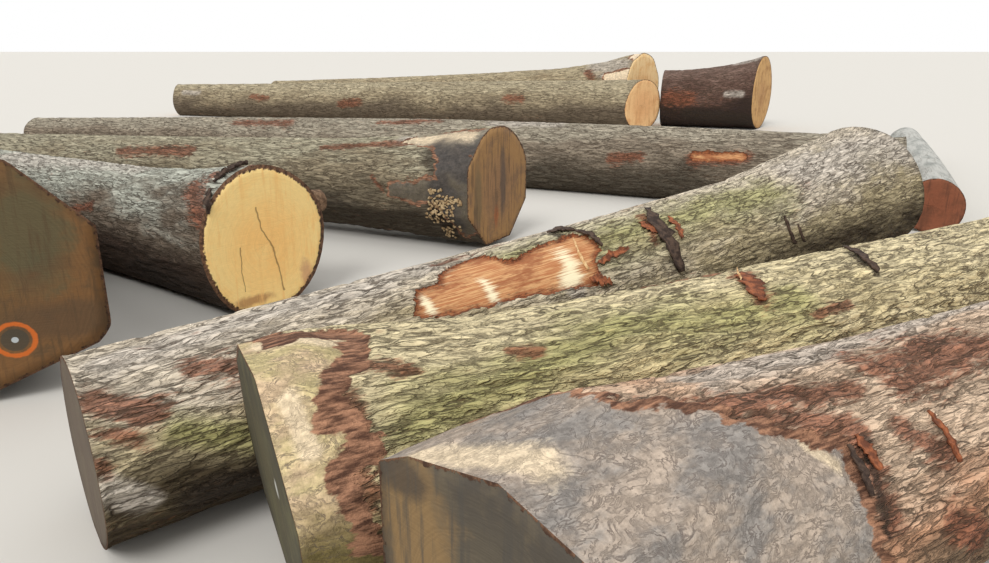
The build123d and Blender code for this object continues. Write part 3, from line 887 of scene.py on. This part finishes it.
# %% Strokes and patches
STROKES = {
    "torn_bark_log": {
        "scuff": [
            (92, 400, 150, 412, 0.09), (100, 432, 140, 440, 0.05), (190, 368, 232, 364, 0.07),
            (96, 462, 106, 470, 0.04), (642, 215, 656, 240, 0.05), (430, 230, 500, 238, 0.03),
        ],
        "pale": [
            (110, 490, 150, 505, 0.07), (110, 360, 420, 255, 0.13), (800, 168, 905, 135, 0.25),
            (566, 250, 578, 290, 0.075), (486, 278, 498, 298, 0.04), (424, 294, 436, 310, 0.03),
        ],
        "moss": [(520, 260, 770, 190, 0.3), (180, 430, 260, 440, 0.1)],
        "dark": [(200, 500, 260, 480, 0.12), (545, 232, 566, 236, 0.04)],
    },
    "mossy_log": {
        "scuff": [
            (345, 362, 408, 366, 0.05), (512, 350, 540, 348, 0.04), (730, 264, 700, 270, 0.04),
            (742, 272, 762, 300, 0.075), (818, 314, 852, 302, 0.035), (640, 278, 720, 262, 0.03),
            (352, 390, 362, 470, 0.05), (338, 440, 372, 500, 0.05),
        ],
        "moss": [(420, 420, 600, 340, 0.2), (600, 330, 800, 300, 0.25)],
        "dark": [(845, 250, 878, 272, 0.03)],
        "pale": [(262, 345, 330, 336, 0.05), (288, 400, 310, 450, 0.04)],
    },
    "hewn_butt_log": {
        "scuff": [
            (640, 414, 760, 400, 0.07), (880, 362, 985, 340, 0.14), (760, 395, 860, 385, 0.06),
            (900, 380, 960, 352, 0.1), (905, 430, 950, 452, 0.07), (960, 520, 985, 545, 0.08),
            (470, 428, 600, 420, 0.06), (765, 415, 860, 428, 0.07), (850, 430, 895, 520, 0.08),
        ],
        "pale": [(700, 375, 985, 300, 0.12), (425, 456, 540, 462, 0.07), (810, 440, 842, 462, 0.03)],
        "dark": [(868, 440, 890, 540, 0.025)],
    },
    "fresh_sawn_log": {
        "scuff": [(192, 185, 212, 225, 0.1), (210, 175, 250, 160, 0.07), (70, 210, 90, 205, 0.05)],
        "dark": [(150, 300, 240, 310, 0.3)],
        "pale": [(10, 155, 150, 165, 0.2)],
    },
    "octagon_end_log": {
        "scuff": [(322, 146, 412, 141, 0.05), (370, 175, 382, 190, 0.03), (120, 150, 190, 150, 0.08)],
        "pale": [(405, 138, 470, 134, 0.1)],
        "dark": [(436, 152, 462, 165, 0.16), (440, 160, 452, 225, 0.16)],
    },
    "long_grey_log": {
        "scuff": [
            (235, 122, 288, 122, 0.12), (380, 122, 438, 120, 0.1), (610, 160, 640, 156, 0.08),
            (745, 158, 690, 160, 0.09),
        ],
        "pale": [(495, 122, 558, 122, 0.16)],
        "torn": [(694, 156, 742, 156, 0.05)],
    },
    "far_slim_log": {
        "scuff": [(252, 96, 266, 98, 0.12), (340, 104, 358, 102, 0.12), (505, 98, 520, 99, 0.12)],
        "pale": [(184, 92, 198, 92, 0.12)],
    },
    "far_flared_log": {
        "scuff": [(588, 72, 592, 80, 0.1)],
        "pale": [(598, 64, 620, 68, 0.3)],
    },
    "far_dark_log": {
        "scuff": [(668, 96, 688, 100, 0.2)],
        "pale": [(726, 94, 742, 94, 0.08), (738, 56, 755, 56, 0.15)],
        "dark": [(690, 115, 750, 122, 0.2)],
    },
    "weathered_log": {
        "dark": [(937, 158, 939, 159, 0.02)],
        "scuff": [(958, 200, 966, 190, 0.06)],
    },
}
PATCHES = {
    "mossy_log": ("cut", [
        (254, 357), (300, 336), (344, 331), (342, 352), (320, 374), (316, 420), (325, 470), (344, 520),
        (364, 563), (372, 620), (320, 640), (300, 563), (262, 420),
    ]),
    "octagon_end_log": ("cut", [
        (402, 141), (424, 132), (470, 128), (497, 129), (480, 138), (466, 148), (464, 200), (466, 240),
        (440, 200), (436, 160), (432, 146),
    ]),
    "hewn_butt_log": ("cut", [
        (393, 464), (415, 458), (495, 430), (620, 428), (753, 424), (846, 446), (872, 500), (884, 560),
        (880, 640), (585, 560),
    ]),
    "torn_bark_log": ("torn", [
        (414, 286), (440, 279), (436, 272), (448, 263), (480, 251), (507, 257), (522, 251), (538, 242),
        (572, 231), (588, 232), (603, 247), (599, 259), (603, 274), (601, 286), (572, 290), (534, 295),
        (507, 302), (480, 309), (457, 313), (425, 318), (416, 314),
    ]),
}
print(sum(len(runs) for kinds in STROKES.values() for runs in kinds.values()), "strokes on", len(STROKES), "logs")

# %% [markdown]
# ## Dressing one log
#
# Net, fields, relief and materials come together here. The number of sides and the spacing of the rings decide
# the triangles: about 160,000 on each of the three front logs and a few tens of thousands on the far ones.

# %% From net to finished piece
PITH_EDGE = 0.3
SEED_STEP = 7.31


def shell_mesh(name, knots, caps):
    """Closed mesh from the rings of the side and the shrinking rings of both sawn faces."""
    rings, sides = knots.shape[:2]
    points = [knots.reshape(-1, 3)]
    faces = []
    turns = [(j, (j + 1) % sides) for j in range(sides)]

    def band(first, second, flip=False):
        for j, k in turns:
            quad = (first + j, first + k, second + k, second + j)
            faces.append(quad[::-1] if flip else quad)

    for i in range(rings - 1):
        band(i * sides, (i + 1) * sides)
    count = rings * sides
    for cap, outer, flip in ((caps[0], 0, True), (caps[1], (rings - 1) * sides, False)):
        for ring in cap[:-1]:
            points.append(ring)
            band(outer, count, flip)
            outer = count
            count += sides
        points.append(cap[-1][:1])
        tips = [(outer + j, outer + k, count) for j, k in turns]
        faces += [tip[::-1] for tip in tips] if flip else tips
        count += 1
    mesh = bpy.data.meshes.new(name)
    mesh.from_pydata(np.concatenate(points).tolist(), [], faces)
    return mesh


def cap_rings(rim, pith):
    """Rings that shrink evenly from the rim of a sawn face to its pith."""
    return [rim + (pith - rim) * share for share in np.linspace(0, 1, CAP_RINGS + 1)[1:] ** CAP_SPREAD]


def store(mesh, name, values, kind="FLOAT"):
    """Gives the skin one named number or vector for each knot."""
    title, slot = ("FLOAT_VECTOR", "vector") if kind == "VECTOR" else ("FLOAT", "value")
    values = np.ascontiguousarray(values, np.float32).ravel()
    mesh.attributes.new(name, title, "POINT").data.foreach_set(slot, values)


def add_piece(name, mesh):
    """Shows a finished mesh as a piece that rides on the heap's one body."""
    mesh.polygons.foreach_set("use_smooth", [True] * len(mesh.polygons))
    piece = bpy.data.objects.new(name, mesh)
    scene.collection.objects.link(piece)
    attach(piece, "root")
    print(name, "has", sum(len(p.vertices) - 2 for p in mesh.polygons), "triangles")
    return piece


def marks_on(stem, knots, radii, angles, flat):
    """Every kind of mark on the knots of the side, by name."""
    mean_radius = float(radii.mean())
    turned = (angles + math.pi) % (2 * math.pi) - math.pi
    arc = np.broadcast_to(turned * mean_radius, radii.shape)
    fields = {kind: np.full(radii.shape, NOT_HERE) for kind in MARK_KINDS}
    fields["flat"] = flat_depth(flat, knots, arc)
    fields["cut"] = fields["flat"].copy()
    if stem.name in PATCHES:
        kind, pixels = PATCHES[stem.name]
        depth = patch(stem, knots[..., 1], arc, mean_radius, pixels)
        spread = BUTTS[stem.name][3] if kind == "cut" else 0.0
        fields[kind] = np.maximum(fields[kind], depth + spread)
    for kind, runs in STROKES.get(stem.name, {}).items():
        for x_0, y_0, x_1, y_1, half_width in runs:
            mark = stroke(stem, knots[..., 1], arc, mean_radius, ((x_0, y_0), (x_1, y_1)), half_width)
            fields[kind] = np.maximum(fields[kind], mark * (half_width if kind == "torn" else 1.0))
    return fields


def dress(name, sides, fine, coarse, fine_length, bark, sawn, seed, furrow_depth):
    """Makes the finished skin of one log and lets it stand for its CAD node."""
    stem = stems[name]
    knots, angles, flat, radii = wrap(stem, sides, fine, coarse, fine_length)
    if name == "fresh_sawn_log":
        without_stub(knots, radii, angles, stem)
    rims = (knots[0], knots[-1])
    caps = [cap_rings(rim, pith_of(stem, plane)) for rim, plane in zip(rims, (stem.near, stem.far))]
    mesh = shell_mesh(name, knots, caps)
    everything = np.array([v.co for v in mesh.vertices])
    total, side_count = len(everything), knots.shape[0] * sides
    mid_x, mid_z = stem.centre(everything[:, 1])
    from_pith = everything - np.stack([mid_x, np.full(total, stem.start), mid_z], axis=1)
    inward = unit(-from_pith * ON_FACE)
    cap, front, edge = np.zeros((3, total))
    cap[side_count:] = cap[:sides] = cap[side_count - sides : side_count] = 1.0
    front[:sides] = front[side_count : side_count + (CAP_RINGS - 1) * sides + 1] = 1.0
    along = knots[..., 1]
    edge[:side_count] = np.minimum(along - along[0], along[-1] - along).ravel()
    start = side_count
    for rings, rim in zip(caps, rims):
        for ring in rings[:-1]:
            edge[start : start + sides] = np.linalg.norm(ring - rim, axis=1)
            start += sides
        edge[start] = PITH_EDGE
        start += 1
    store(mesh, "grain", from_pith + np.array([0.0, seed * SEED_STEP, 0.0]), "VECTOR")
    store(mesh, "inward", inward @ stem.axes, "VECTOR")
    numbers = {"cap": cap, "front": front, "edge": edge, "lift": everything[:, 2], "up": -inward[:, 2]}
    for kind, field in marks_on(stem, knots, radii, angles, flat).items():
        numbers[kind] = np.full(total, NOT_HERE)
        numbers[kind][:side_count] = np.maximum(field, NOT_HERE).ravel()
    for kind, values in numbers.items():
        store(mesh, kind, values)
    mesh.vertices.foreach_set("co", (everything @ stem.axes).astype(np.float32).ravel())
    inputs = {"Furrow depth": furrow_depth, "Bark thickness": BARK_THICKNESS, "Hewing depth": HEWING_DEPTH}
    finished = grown(mesh, bark_relief, {**inputs, "Bark": bark, "Sawn face": sawn})
    finished.name = name
    piece = add_piece(f"{name}_skin", finished)
    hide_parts(name)


# %% [markdown]
# ## The three front logs
#
# They are nearest the eye, so their nets are the finest: knots about 9 mm apart round the stem and 20 mm along
# it. The front one has weathered grey and lilac trimmed wood, the mossy one has olive and cream flats, and the
# third has the strip of torn bark. Trimmed butts name four things: the wood, its stain, its darker tone low on the
# flank, which is painted shade, and how wide the band of cut bark is. Sawn faces name heartwood, sapwood, stain and
# streak.

# %% Trimmed butts and sawn faces
BUTTS = {
    "hewn_butt_log": ((182, 166, 150), (148, 142, 136), (144, 130, 114), 0.03),
    "mossy_log": ((214, 188, 154), (202, 186, 138), (130, 117, 72), 0.07),
    "ringed_butt_log": ((96, 78, 58), (60, 48, 36), (44, 34, 26), 0.0),
    "octagon_end_log": ((150, 140, 122), (112, 108, 100), (100, 92, 78), 0.015),
    "far_flared_log": ((246, 226, 196), (226, 198, 162), (166, 134, 98), 0.03),
}
SAWN_TONES = {
    "hewn_butt_log": ((94, 86, 72), (80, 74, 66), (100, 90, 74), (76, 72, 66)),
    "mossy_log": ((86, 80, 60), (74, 70, 56), (94, 90, 66), (58, 56, 48)),
    "torn_bark_log": ((100, 88, 76), (94, 83, 71), (106, 95, 80), (78, 69, 60)),
    "ringed_butt_log": ((112, 84, 52), (122, 88, 54), (98, 76, 52), (84, 66, 46)),
    "fresh_sawn_log": ((255, 206, 130), (255, 222, 150), (255, 214, 140), (248, 196, 122)),
    "octagon_end_log": ((158, 122, 88), (168, 130, 86), (140, 110, 82), (88, 72, 58)),
    "long_grey_log": ((150, 130, 100), (140, 122, 94), (120, 104, 82), (90, 78, 60)),
    "weathered_log": ((142, 86, 62), (150, 96, 70), (118, 74, 54), (96, 62, 48)),
    "far_slim_log": ((230, 180, 128), (238, 196, 142), (220, 168, 116), (192, 140, 92)),
    "far_flared_log": ((252, 212, 152), (255, 224, 170), (244, 200, 138), (214, 166, 110)),
    "far_dark_log": ((196, 152, 102), (210, 168, 112), (174, 130, 82), (140, 102, 66)),
}
# Spots are seen pixel, width and height in metres, tone and strength; splits are two pixels and a width
SAWN_MARKS = {
    "hewn_butt_log": {
        "crack": 0.3, "bark_rim": 0.008,
        "spots": [(415, 525, 0.13, 0.22, (138, 112, 76), 0.9), (400, 475, 0.1, 0.06, (74, 66, 58), 0.8)],
    },
    "mossy_log": {
        "crack": 0.3,
        "spots": [
            (281, 430, 0.05, 0.2, (148, 140, 88), 0.7), (277, 490, 0.025, 0.03, (206, 206, 200), 0.9),
            (262, 364, 0.14, 0.05, (66, 58, 50), 0.9),
        ],
    },
    "torn_bark_log": {"crack": 0.3},
    "ringed_butt_log": {
        "crack": 0.2,
        "spots": [(28, 235, 0.16, 0.3, (86, 84, 62), 0.8), (60, 320, 0.3, 0.1, (88, 70, 52), 0.7)],
        "ring": (15, 340, 0.075),
    },
    "fresh_sawn_log": {
        "crack": 0.12,
        "rings": 0.15,
        "bark_rim": 0.03,
        "splits": [
            ((256, 208), (262, 232), 0.006), ((262, 232), (274, 248), 0.006), ((274, 248), (284, 290), 0.008),
            ((240, 248), (246, 292), 0.005),
        ],
        "spots": [(308, 280, 0.05, 0.16, (206, 156, 118), 0.8), (255, 300, 0.14, 0.04, (176, 128, 84), 0.8)],
    },
    "octagon_end_log": {
        "crack": 0.3,
        "spots": [
            (503, 180, 0.05, 0.3, (96, 84, 76), 0.8), (496, 215, 0.04, 0.12, (178, 104, 62), 0.7),
            (478, 200, 0.06, 0.3, (108, 98, 76), 0.6),
        ],
    },
    "weathered_log": {"bark_rim": 0.004},
}

# %% [markdown]
# ## All eleven skins
#
# Each log names its number of sides, the spacing of its rings near the butt and further on, and how far the fine
# spacing goes. The bleached stem has no bark, so its furrows are only hair cracks.

# %% Dress the logs
NETS = {
    "hewn_butt_log": (250, 0.017, 0.06, 3.4),
    "mossy_log": (250, 0.019, 0.06, 4.4),
    "torn_bark_log": (240, 0.018, 0.03, 3.6),
    "ringed_butt_log": (150, 0.03, 0.08, 0.8),
    "fresh_sawn_log": (180, 0.026, 0.05, 3.0),
    "octagon_end_log": (150, 0.03, 0.06, 3.0),
    "long_grey_log": (120, 0.04, 0.05, 7.0),
    "weathered_log": (90, 0.035, 0.05, 3.0),
    "far_slim_log": (80, 0.06, 0.08, 6.0),
    "far_flared_log": (80, 0.06, 0.1, 3.0),
    "far_dark_log": (80, 0.05, 0.06, 3.0),
}
BARE_STEM_RELIEF = 0.003
NO_FLATS = ((0, 0, 0),) * 3 + (0.0,)
for seed, (name, net_sizes) in enumerate(NETS.items()):
    sawn = sawn_material(name, *SAWN_TONES[name], **SAWN_MARKS.get(name, {}))
    if name == "weathered_log":
        dress(name, *net_sizes, bleached_material(name), sawn, seed, BARE_STEM_RELIEF)
    else:
        bark = bark_material(name, *BARKS[name], *BUTTS.get(name, NO_FLATS))
        dress(name, *net_sizes, bark, sawn, seed, FURROW_DEPTH)

# %% [markdown]
# ## The stub of a branch
#
# A branch was sawn off beside the fresh face. It leaves a short tapered stub with its own bark and a tan sawn
# face. The CAD model has it as a cone, so its axis and radii are known, and a turned profile follows them.

# %% Branch stub
STUB_HEIGHT = 0.56
STUB_SETBACK = 0.13
STUB_TIP_RADIUS = 0.075
STUB_TURNS = 48
# Distance back from the sawn tip, and share of the tip's radius
STUB_PROFILE = [(0.16, 1.24), (0.1, 1.16), (0.06, 1.08), (0.03, 1.02), (0.004, 0.99), (0.0, 0.95), (0.0, 0.5)]
STUB_BARK_RINGS = 5
STUB_ROUGHNESS = 0.06


def plain_finish(name, tones, bump_size, fineness=40.0):
    """Blotchy finish of two tones on a small piece, from its own place."""
    made, net = open_finish(name)
    place = net.stretch(net.node("ShaderNodeTexCoord", output=3), (fineness,) * 3)
    blotch = net.noise(place, 1.0, 4.0, 0.65)
    grit = net.noise(place, 5.0, 3.0, 0.7)
    colour = net.mix(net.rise(blotch, 0.38, 0.62), *(paint(*tone) for tone in tones))
    colour = net.tint(colour, 0.7, grit, 0.6, 1.4)
    return close_finish(made, net, colour, blotch + 0.4 * grit, bump_size, 0.8, 0.85)


def small_piece(name, points, faces, finishes, which):
    """A closed small mesh on a log, with its faces turned outwards."""
    mesh = bpy.data.meshes.new(name)
    mesh.from_pydata([tuple(p) for p in points], [], faces)
    for finish in finishes:
        mesh.materials.append(finish)
    mesh.polygons.foreach_set("material_index", which)
    work = bmesh.new()
    work.from_mesh(mesh)
    bmesh.ops.recalc_face_normals(work, faces=work.faces[:])
    work.to_mesh(mesh)
    work.free()
    return add_piece(name, mesh)


def tube_faces(start, rings, sides):
    """Faces of an open tube whose points are numbered ring by ring."""
    return [
        (start + i * sides + j, start + i * sides + k, start + (i + 1) * sides + k, start + (i + 1) * sides + j)
        for i in range(rings - 1)
        for j, k in ((j, (j + 1) % sides) for j in range(sides))
    ]


def make_stub():
    """Tapered stub turned round its axis, from inside the log to its sawn tip."""
    stem = stems["fresh_sawn_log"]
    axis_y = stem.butt + STUB_SETBACK
    from_right = Vector((stem.centre(axis_y)[0] + OUTSIDE, axis_y, STUB_HEIGHT))
    tip_x = stem.tree.ray_cast(from_right, Vector((-1, 0, 0)))[0].x
    rough = 1 - STUB_ROUGHNESS * np.random.default_rng(5).random(STUB_TURNS)
    points = []
    for back, share in STUB_PROFILE:
        for k in range(STUB_TURNS):
            turn = 2 * math.pi * k / STUB_TURNS
            radius = STUB_TIP_RADIUS * share * (rough[k] if share > 0.9 else 1.0)
            points.append((tip_x - back, axis_y + radius * math.sin(turn), STUB_HEIGHT + radius * math.cos(turn)))
    last = len(points) - STUB_TURNS
    points += [(tip_x - back, axis_y, STUB_HEIGHT) for back in (0.0, STUB_PROFILE[0][0])]
    faces = tube_faces(0, len(STUB_PROFILE), STUB_TURNS)
    which = [0 if i < STUB_BARK_RINGS * STUB_TURNS else 1 for i in range(len(faces))]
    for j in range(STUB_TURNS):
        k = (j + 1) % STUB_TURNS
        faces += [(last + j, last + k, len(points) - 2), (k, j, len(points) - 1)]
        which += [1, 0]
    finishes = [
        plain_finish("stub_bark", ((92, 70, 52), (140, 112, 88)), 0.006),
        plain_finish("stub_sawn_face", ((206, 156, 116), (184, 132, 96)), 0.001),
    ]
    small_piece("fresh_branch_stub", np.array(points) @ stem.axes, faces, finishes, which)


make_stub()

# %% [markdown]
# ## Shreds of bark
#
# Dragging has torn flaps and splinters loose. Each is a tapering strip that lies along a few seen spots of its
# log and lifts a little off it, curled at its edges. They could be painted, but their shadows and ragged
# outlines are what makes them read as torn, so they are real strips, closed all round.

# %% Torn strips
SHRED_STEPS = 16
SHRED_SINK = 0.012
# Place across the strip, and how far it lifts, for each side of its section
SHRED_SECTION = ((-1, 1.0), (-0.5, 0.55), (0, 0.4), (0.5, 0.6), (1, 0.95), (0.6, -0.3), (0, -0.5), (-0.6, -0.3))
# Outer bark, inner bark or wood, seen pixels, width and lift
OUTER, INNER, WOOD = range(3)
SHREDS = {
    "torn_bark_log": [
        (OUTER, [(647, 208), (656, 222), (666, 240), (675, 256), (680, 272)], 0.085, 0.02),
        (INNER, [(640, 222), (650, 228), (660, 232)], 0.06, 0.008),
        (INNER, [(668, 216), (678, 226), (682, 238)], 0.04, 0.008),
        (INNER, [(598, 262), (610, 256), (628, 248)], 0.035, 0.012),
        (WOOD, [(573, 238), (580, 256), (588, 270)], 0.012, 0.01),
        (OUTER, [(574, 230), (590, 234), (602, 246)], 0.035, 0.01),
        (INNER, [(590, 278), (602, 280), (612, 284)], 0.045, 0.008),
        (OUTER, [(548, 232), (560, 229), (574, 230)], 0.05, 0.008),
        (OUTER, [(784, 216), (789, 230), (794, 244)], 0.01, 0.02),
        (OUTER, [(798, 224), (801, 234), (804, 242)], 0.008, 0.015),
    ],
    "mossy_log": [
        (OUTER, [(843, 246), (858, 252), (868, 262), (878, 272)], 0.04, 0.012),
        (INNER, [(740, 272), (752, 282), (762, 300)], 0.09, 0.008),
        (WOOD, [(737, 268), (738, 274), (741, 280)], 0.006, 0.012),
    ],
    "hewn_butt_log": [
        (INNER, [(856, 434), (868, 452), (880, 470)], 0.03, 0.008),
        (OUTER, [(848, 444), (862, 470), (872, 496)], 0.02, 0.008),
        (INNER, [(928, 410), (946, 432), (960, 462)], 0.02, 0.008),
    ],
    "fresh_sawn_log": [
        (OUTER, [(214, 182), (220, 176), (228, 170)], 0.05, 0.02),
        (OUTER, [(226, 172), (236, 166), (248, 163)], 0.05, 0.02),
        (OUTER, [(210, 188), (208, 200), (207, 214)], 0.04, 0.016),
    ],
}


def shred(stem, path, width, lift, draw):
    """Points of one closed strip that lies along seen spots of a log."""
    marks = np.array(path, float)
    run = np.linspace(0, len(marks) - 1, SHRED_STEPS)
    found = [stem.look(*[np.interp(r, range(len(marks)), marks[:, k]) for k in (0, 1)]) for r in run]
    spots, outs = (np.array(column) for column in zip(*found))
    ends = outs[0], outs[-1]
    outs = outs + np.roll(outs, 1, axis=0) + np.roll(outs, -1, axis=0)
    outs[0], outs[-1] = ends
    outs = unit(outs)
    across = unit(np.cross(unit(np.gradient(spots, axis=0)), outs))
    share = np.linspace(0, 1, SHRED_STEPS)
    body = np.sin(math.pi * np.clip(share, 0.03, 0.97)) ** 0.5
    half = width / 2 * body * (1 + 0.3 * draw.standard_normal(SHRED_STEPS)).clip(0.4, 1.5)
    height = lift * (0.35 + 0.65 * share) * (1 + 0.2 * draw.standard_normal(SHRED_STEPS))
    drift = 0.25 * half * draw.standard_normal(SHRED_STEPS)
    rings = []
    for column, over in SHRED_SECTION:
        out = height * over if over > 0 else np.full(SHRED_STEPS, SHRED_SINK * over)
        rings.append(spots + across * (half * column + drift)[:, None] + outs * out[:, None])
    return np.stack(rings, axis=1).reshape(-1, 3)


shred_finishes = [
    plain_finish("shred_outer_bark", ((54, 42, 36), (92, 74, 62)), 0.006, 30.0),
    plain_finish("shred_inner_bark", ((104, 62, 44), (166, 100, 66)), 0.005, 36.0),
    plain_finish("splinter_wood", ((238, 206, 156), (206, 160, 110)), 0.002),
]
for log, strips in SHREDS.items():
    draw = np.random.default_rng(len(log))
    sides = len(SHRED_SECTION)
    points, faces, which = [], [], []
    for tone, path, width, lift in strips:
        start = len(points) * SHRED_STEPS * sides
        last = start + (SHRED_STEPS - 1) * sides
        points.append(shred(stems[log], path, width, lift, draw))
        more = tube_faces(start, SHRED_STEPS, sides)
        more += [tuple(range(start, start + sides))[::-1], tuple(range(last, last + sides))]
        faces += more
        which += [tone] * len(more)
    small_piece(f"{log}_shreds", np.concatenate(points) @ stems[log].axes, faces, shred_finishes, which)

# %% [markdown]
# ## Fungus on the trimmed end
#
# A crust of small tan brackets grows low on the dark flat of the trimmed log. It is one small cap repeated many
# times, so Geometry Nodes put a flattened ball on each of about 160 seeded spots and turn it to the bark.

# %% Node tree of the fungus
FUNGUS_CAP = 0.01
FUNGUS_LIFT = 0.003
# Seen pixel of each clump, its spread in pixels and its number of caps
CLUMPS = [((445, 203), (16, 7), 77), ((440, 214), (13, 8), 44), ((432, 192), (9, 3), 13), ((452, 232), (9, 6), 30)]


def fungus_tree():
    """A flattened ball on each point, turned outwards and of uneven size."""
    net, asked = open_tree("bracket fungus", {"Cap radius": FUNGUS_CAP}, ["Finish"])
    ball = net.node("GeometryNodeMeshIcoSphere", {}, {"Radius": 1.0, "Subdivisions": 2})
    turned = net.node("FunctionNodeAlignRotationToVector", {"axis": "Z"}, {"Vector": net.field("out", "VECTOR")})
    sizes = {0: (0.6, 0.6, 0.35), 1: (1.5, 1.5, 0.9), "Seed": 11}
    uneven = net.node("FunctionNodeRandomValue", {"data_type": "FLOAT_VECTOR"}, sizes)
    size = net.vector("SCALE", uneven, Scale=asked["Cap radius"])
    inputs = {"Points": asked["Geometry"], "Instance": ball, "Rotation": turned, "Scale": size}
    sown = net.node("GeometryNodeInstanceOnPoints", {}, inputs)
    whole = net.node("GeometryNodeRealizeInstances", {}, {"Geometry": sown})
    done = net.node("GeometryNodeSetMaterial", {}, {"Geometry": whole, "Material": asked["Finish"]})
    net.node("NodeGroupOutput", {}, {0: done})
    return net.tree


def make_fungus():
    """Tufts on the lower flat of the trimmed end."""
    stem = stems["octagon_end_log"]
    draw = np.random.default_rng(8)
    spots, outs = [], []
    for (x, y), (wide, high), count in CLUMPS:
        for _ in range(count):
            dx, dy = np.clip(draw.standard_normal(2) * 0.55, -1, 1)
            spot, out = stem.look(x + dx * wide, y + dy * high)
            spots.append(spot + FUNGUS_LIFT * out)
            outs.append(out)
    mesh = bpy.data.meshes.new("fungus_spots")
    mesh.from_pydata((np.array(spots) @ stem.axes).tolist(), [], [])
    store(mesh, "out", np.array(outs) @ stem.axes, "VECTOR")
    flesh = plain_finish("fungus_flesh", ((132, 106, 74), (190, 166, 128)), 0.002)
    caps = grown(mesh, fungus_tree(), {"Cap radius": FUNGUS_CAP, "Finish": flesh})
    add_piece("bracket_fungus", caps)


make_fungus()

# %% [markdown]
# ## Floor, light and the finished heap
#
# A pale floor takes the shadows. An even sky lights the heap as on an overcast day, and one very soft sun from
# the upper left gives the furrows their shade, at a level where a colour renders about as it is written.

# %% Floor and light
FLOOR_REACH = 60.0
FLOOR_DROP = 0.001
SKY_LIGHT = 0.85
floor_mesh = bpy.data.meshes.new("floor")
corners = [(x * FLOOR_REACH, y * FLOOR_REACH, -FLOOR_DROP) for x, y in ((-1, -1), (1, -1), (1, 1), (-1, 1))]
floor_mesh.from_pydata(corners, [], [(0, 1, 2, 3)])
floor = bpy.data.objects.new("floor", floor_mesh)
scene.collection.objects.link(floor)
floor_finish, _ = open_finish("pale_floor")
floor_surface = floor_finish.node_tree.nodes["Principled BSDF"]
floor_surface.inputs["Base Color"].default_value = (*paint(214, 210, 202), 1.0)
floor_surface.inputs["Roughness"].default_value = 0.9
floor_mesh.materials.append(floor_finish)

world = bpy.data.worlds.new("overcast")
world.use_nodes = True
world.node_tree.nodes.clear()
scene.world = world
sky = Net(world.node_tree)
# The camera, gloss and glass see a white sky, and the logs get a little less light from it
camera_ray, gloss_ray, glass_ray = (
    sky.node("ShaderNodeLightPath", output=f"Is {kind} Ray") for kind in ("Camera", "Glossy", "Transmission")
)
shown = sky.maths("ADD", camera_ray, gloss_ray + glass_ray, clamp=True)
strength = SKY_LIGHT + (1.0 - SKY_LIGHT) * shown
backdrop = sky.node("ShaderNodeBackground", {}, {"Color": (1.0, 1.0, 1.0, 1.0), "Strength": strength})
sky.node("ShaderNodeOutputWorld", {}, {"Surface": backdrop})

sun_data = bpy.data.lights.new("soft_sun", "SUN")
sun_data.energy = 1.6
sun_data.angle = math.radians(28)
sun = bpy.data.objects.new("soft_sun", sun_data)
sun.rotation_euler = (math.radians(38), math.radians(-22), 0.0)
scene.collection.objects.link(sun)

scene.view_settings.view_transform = "Standard"
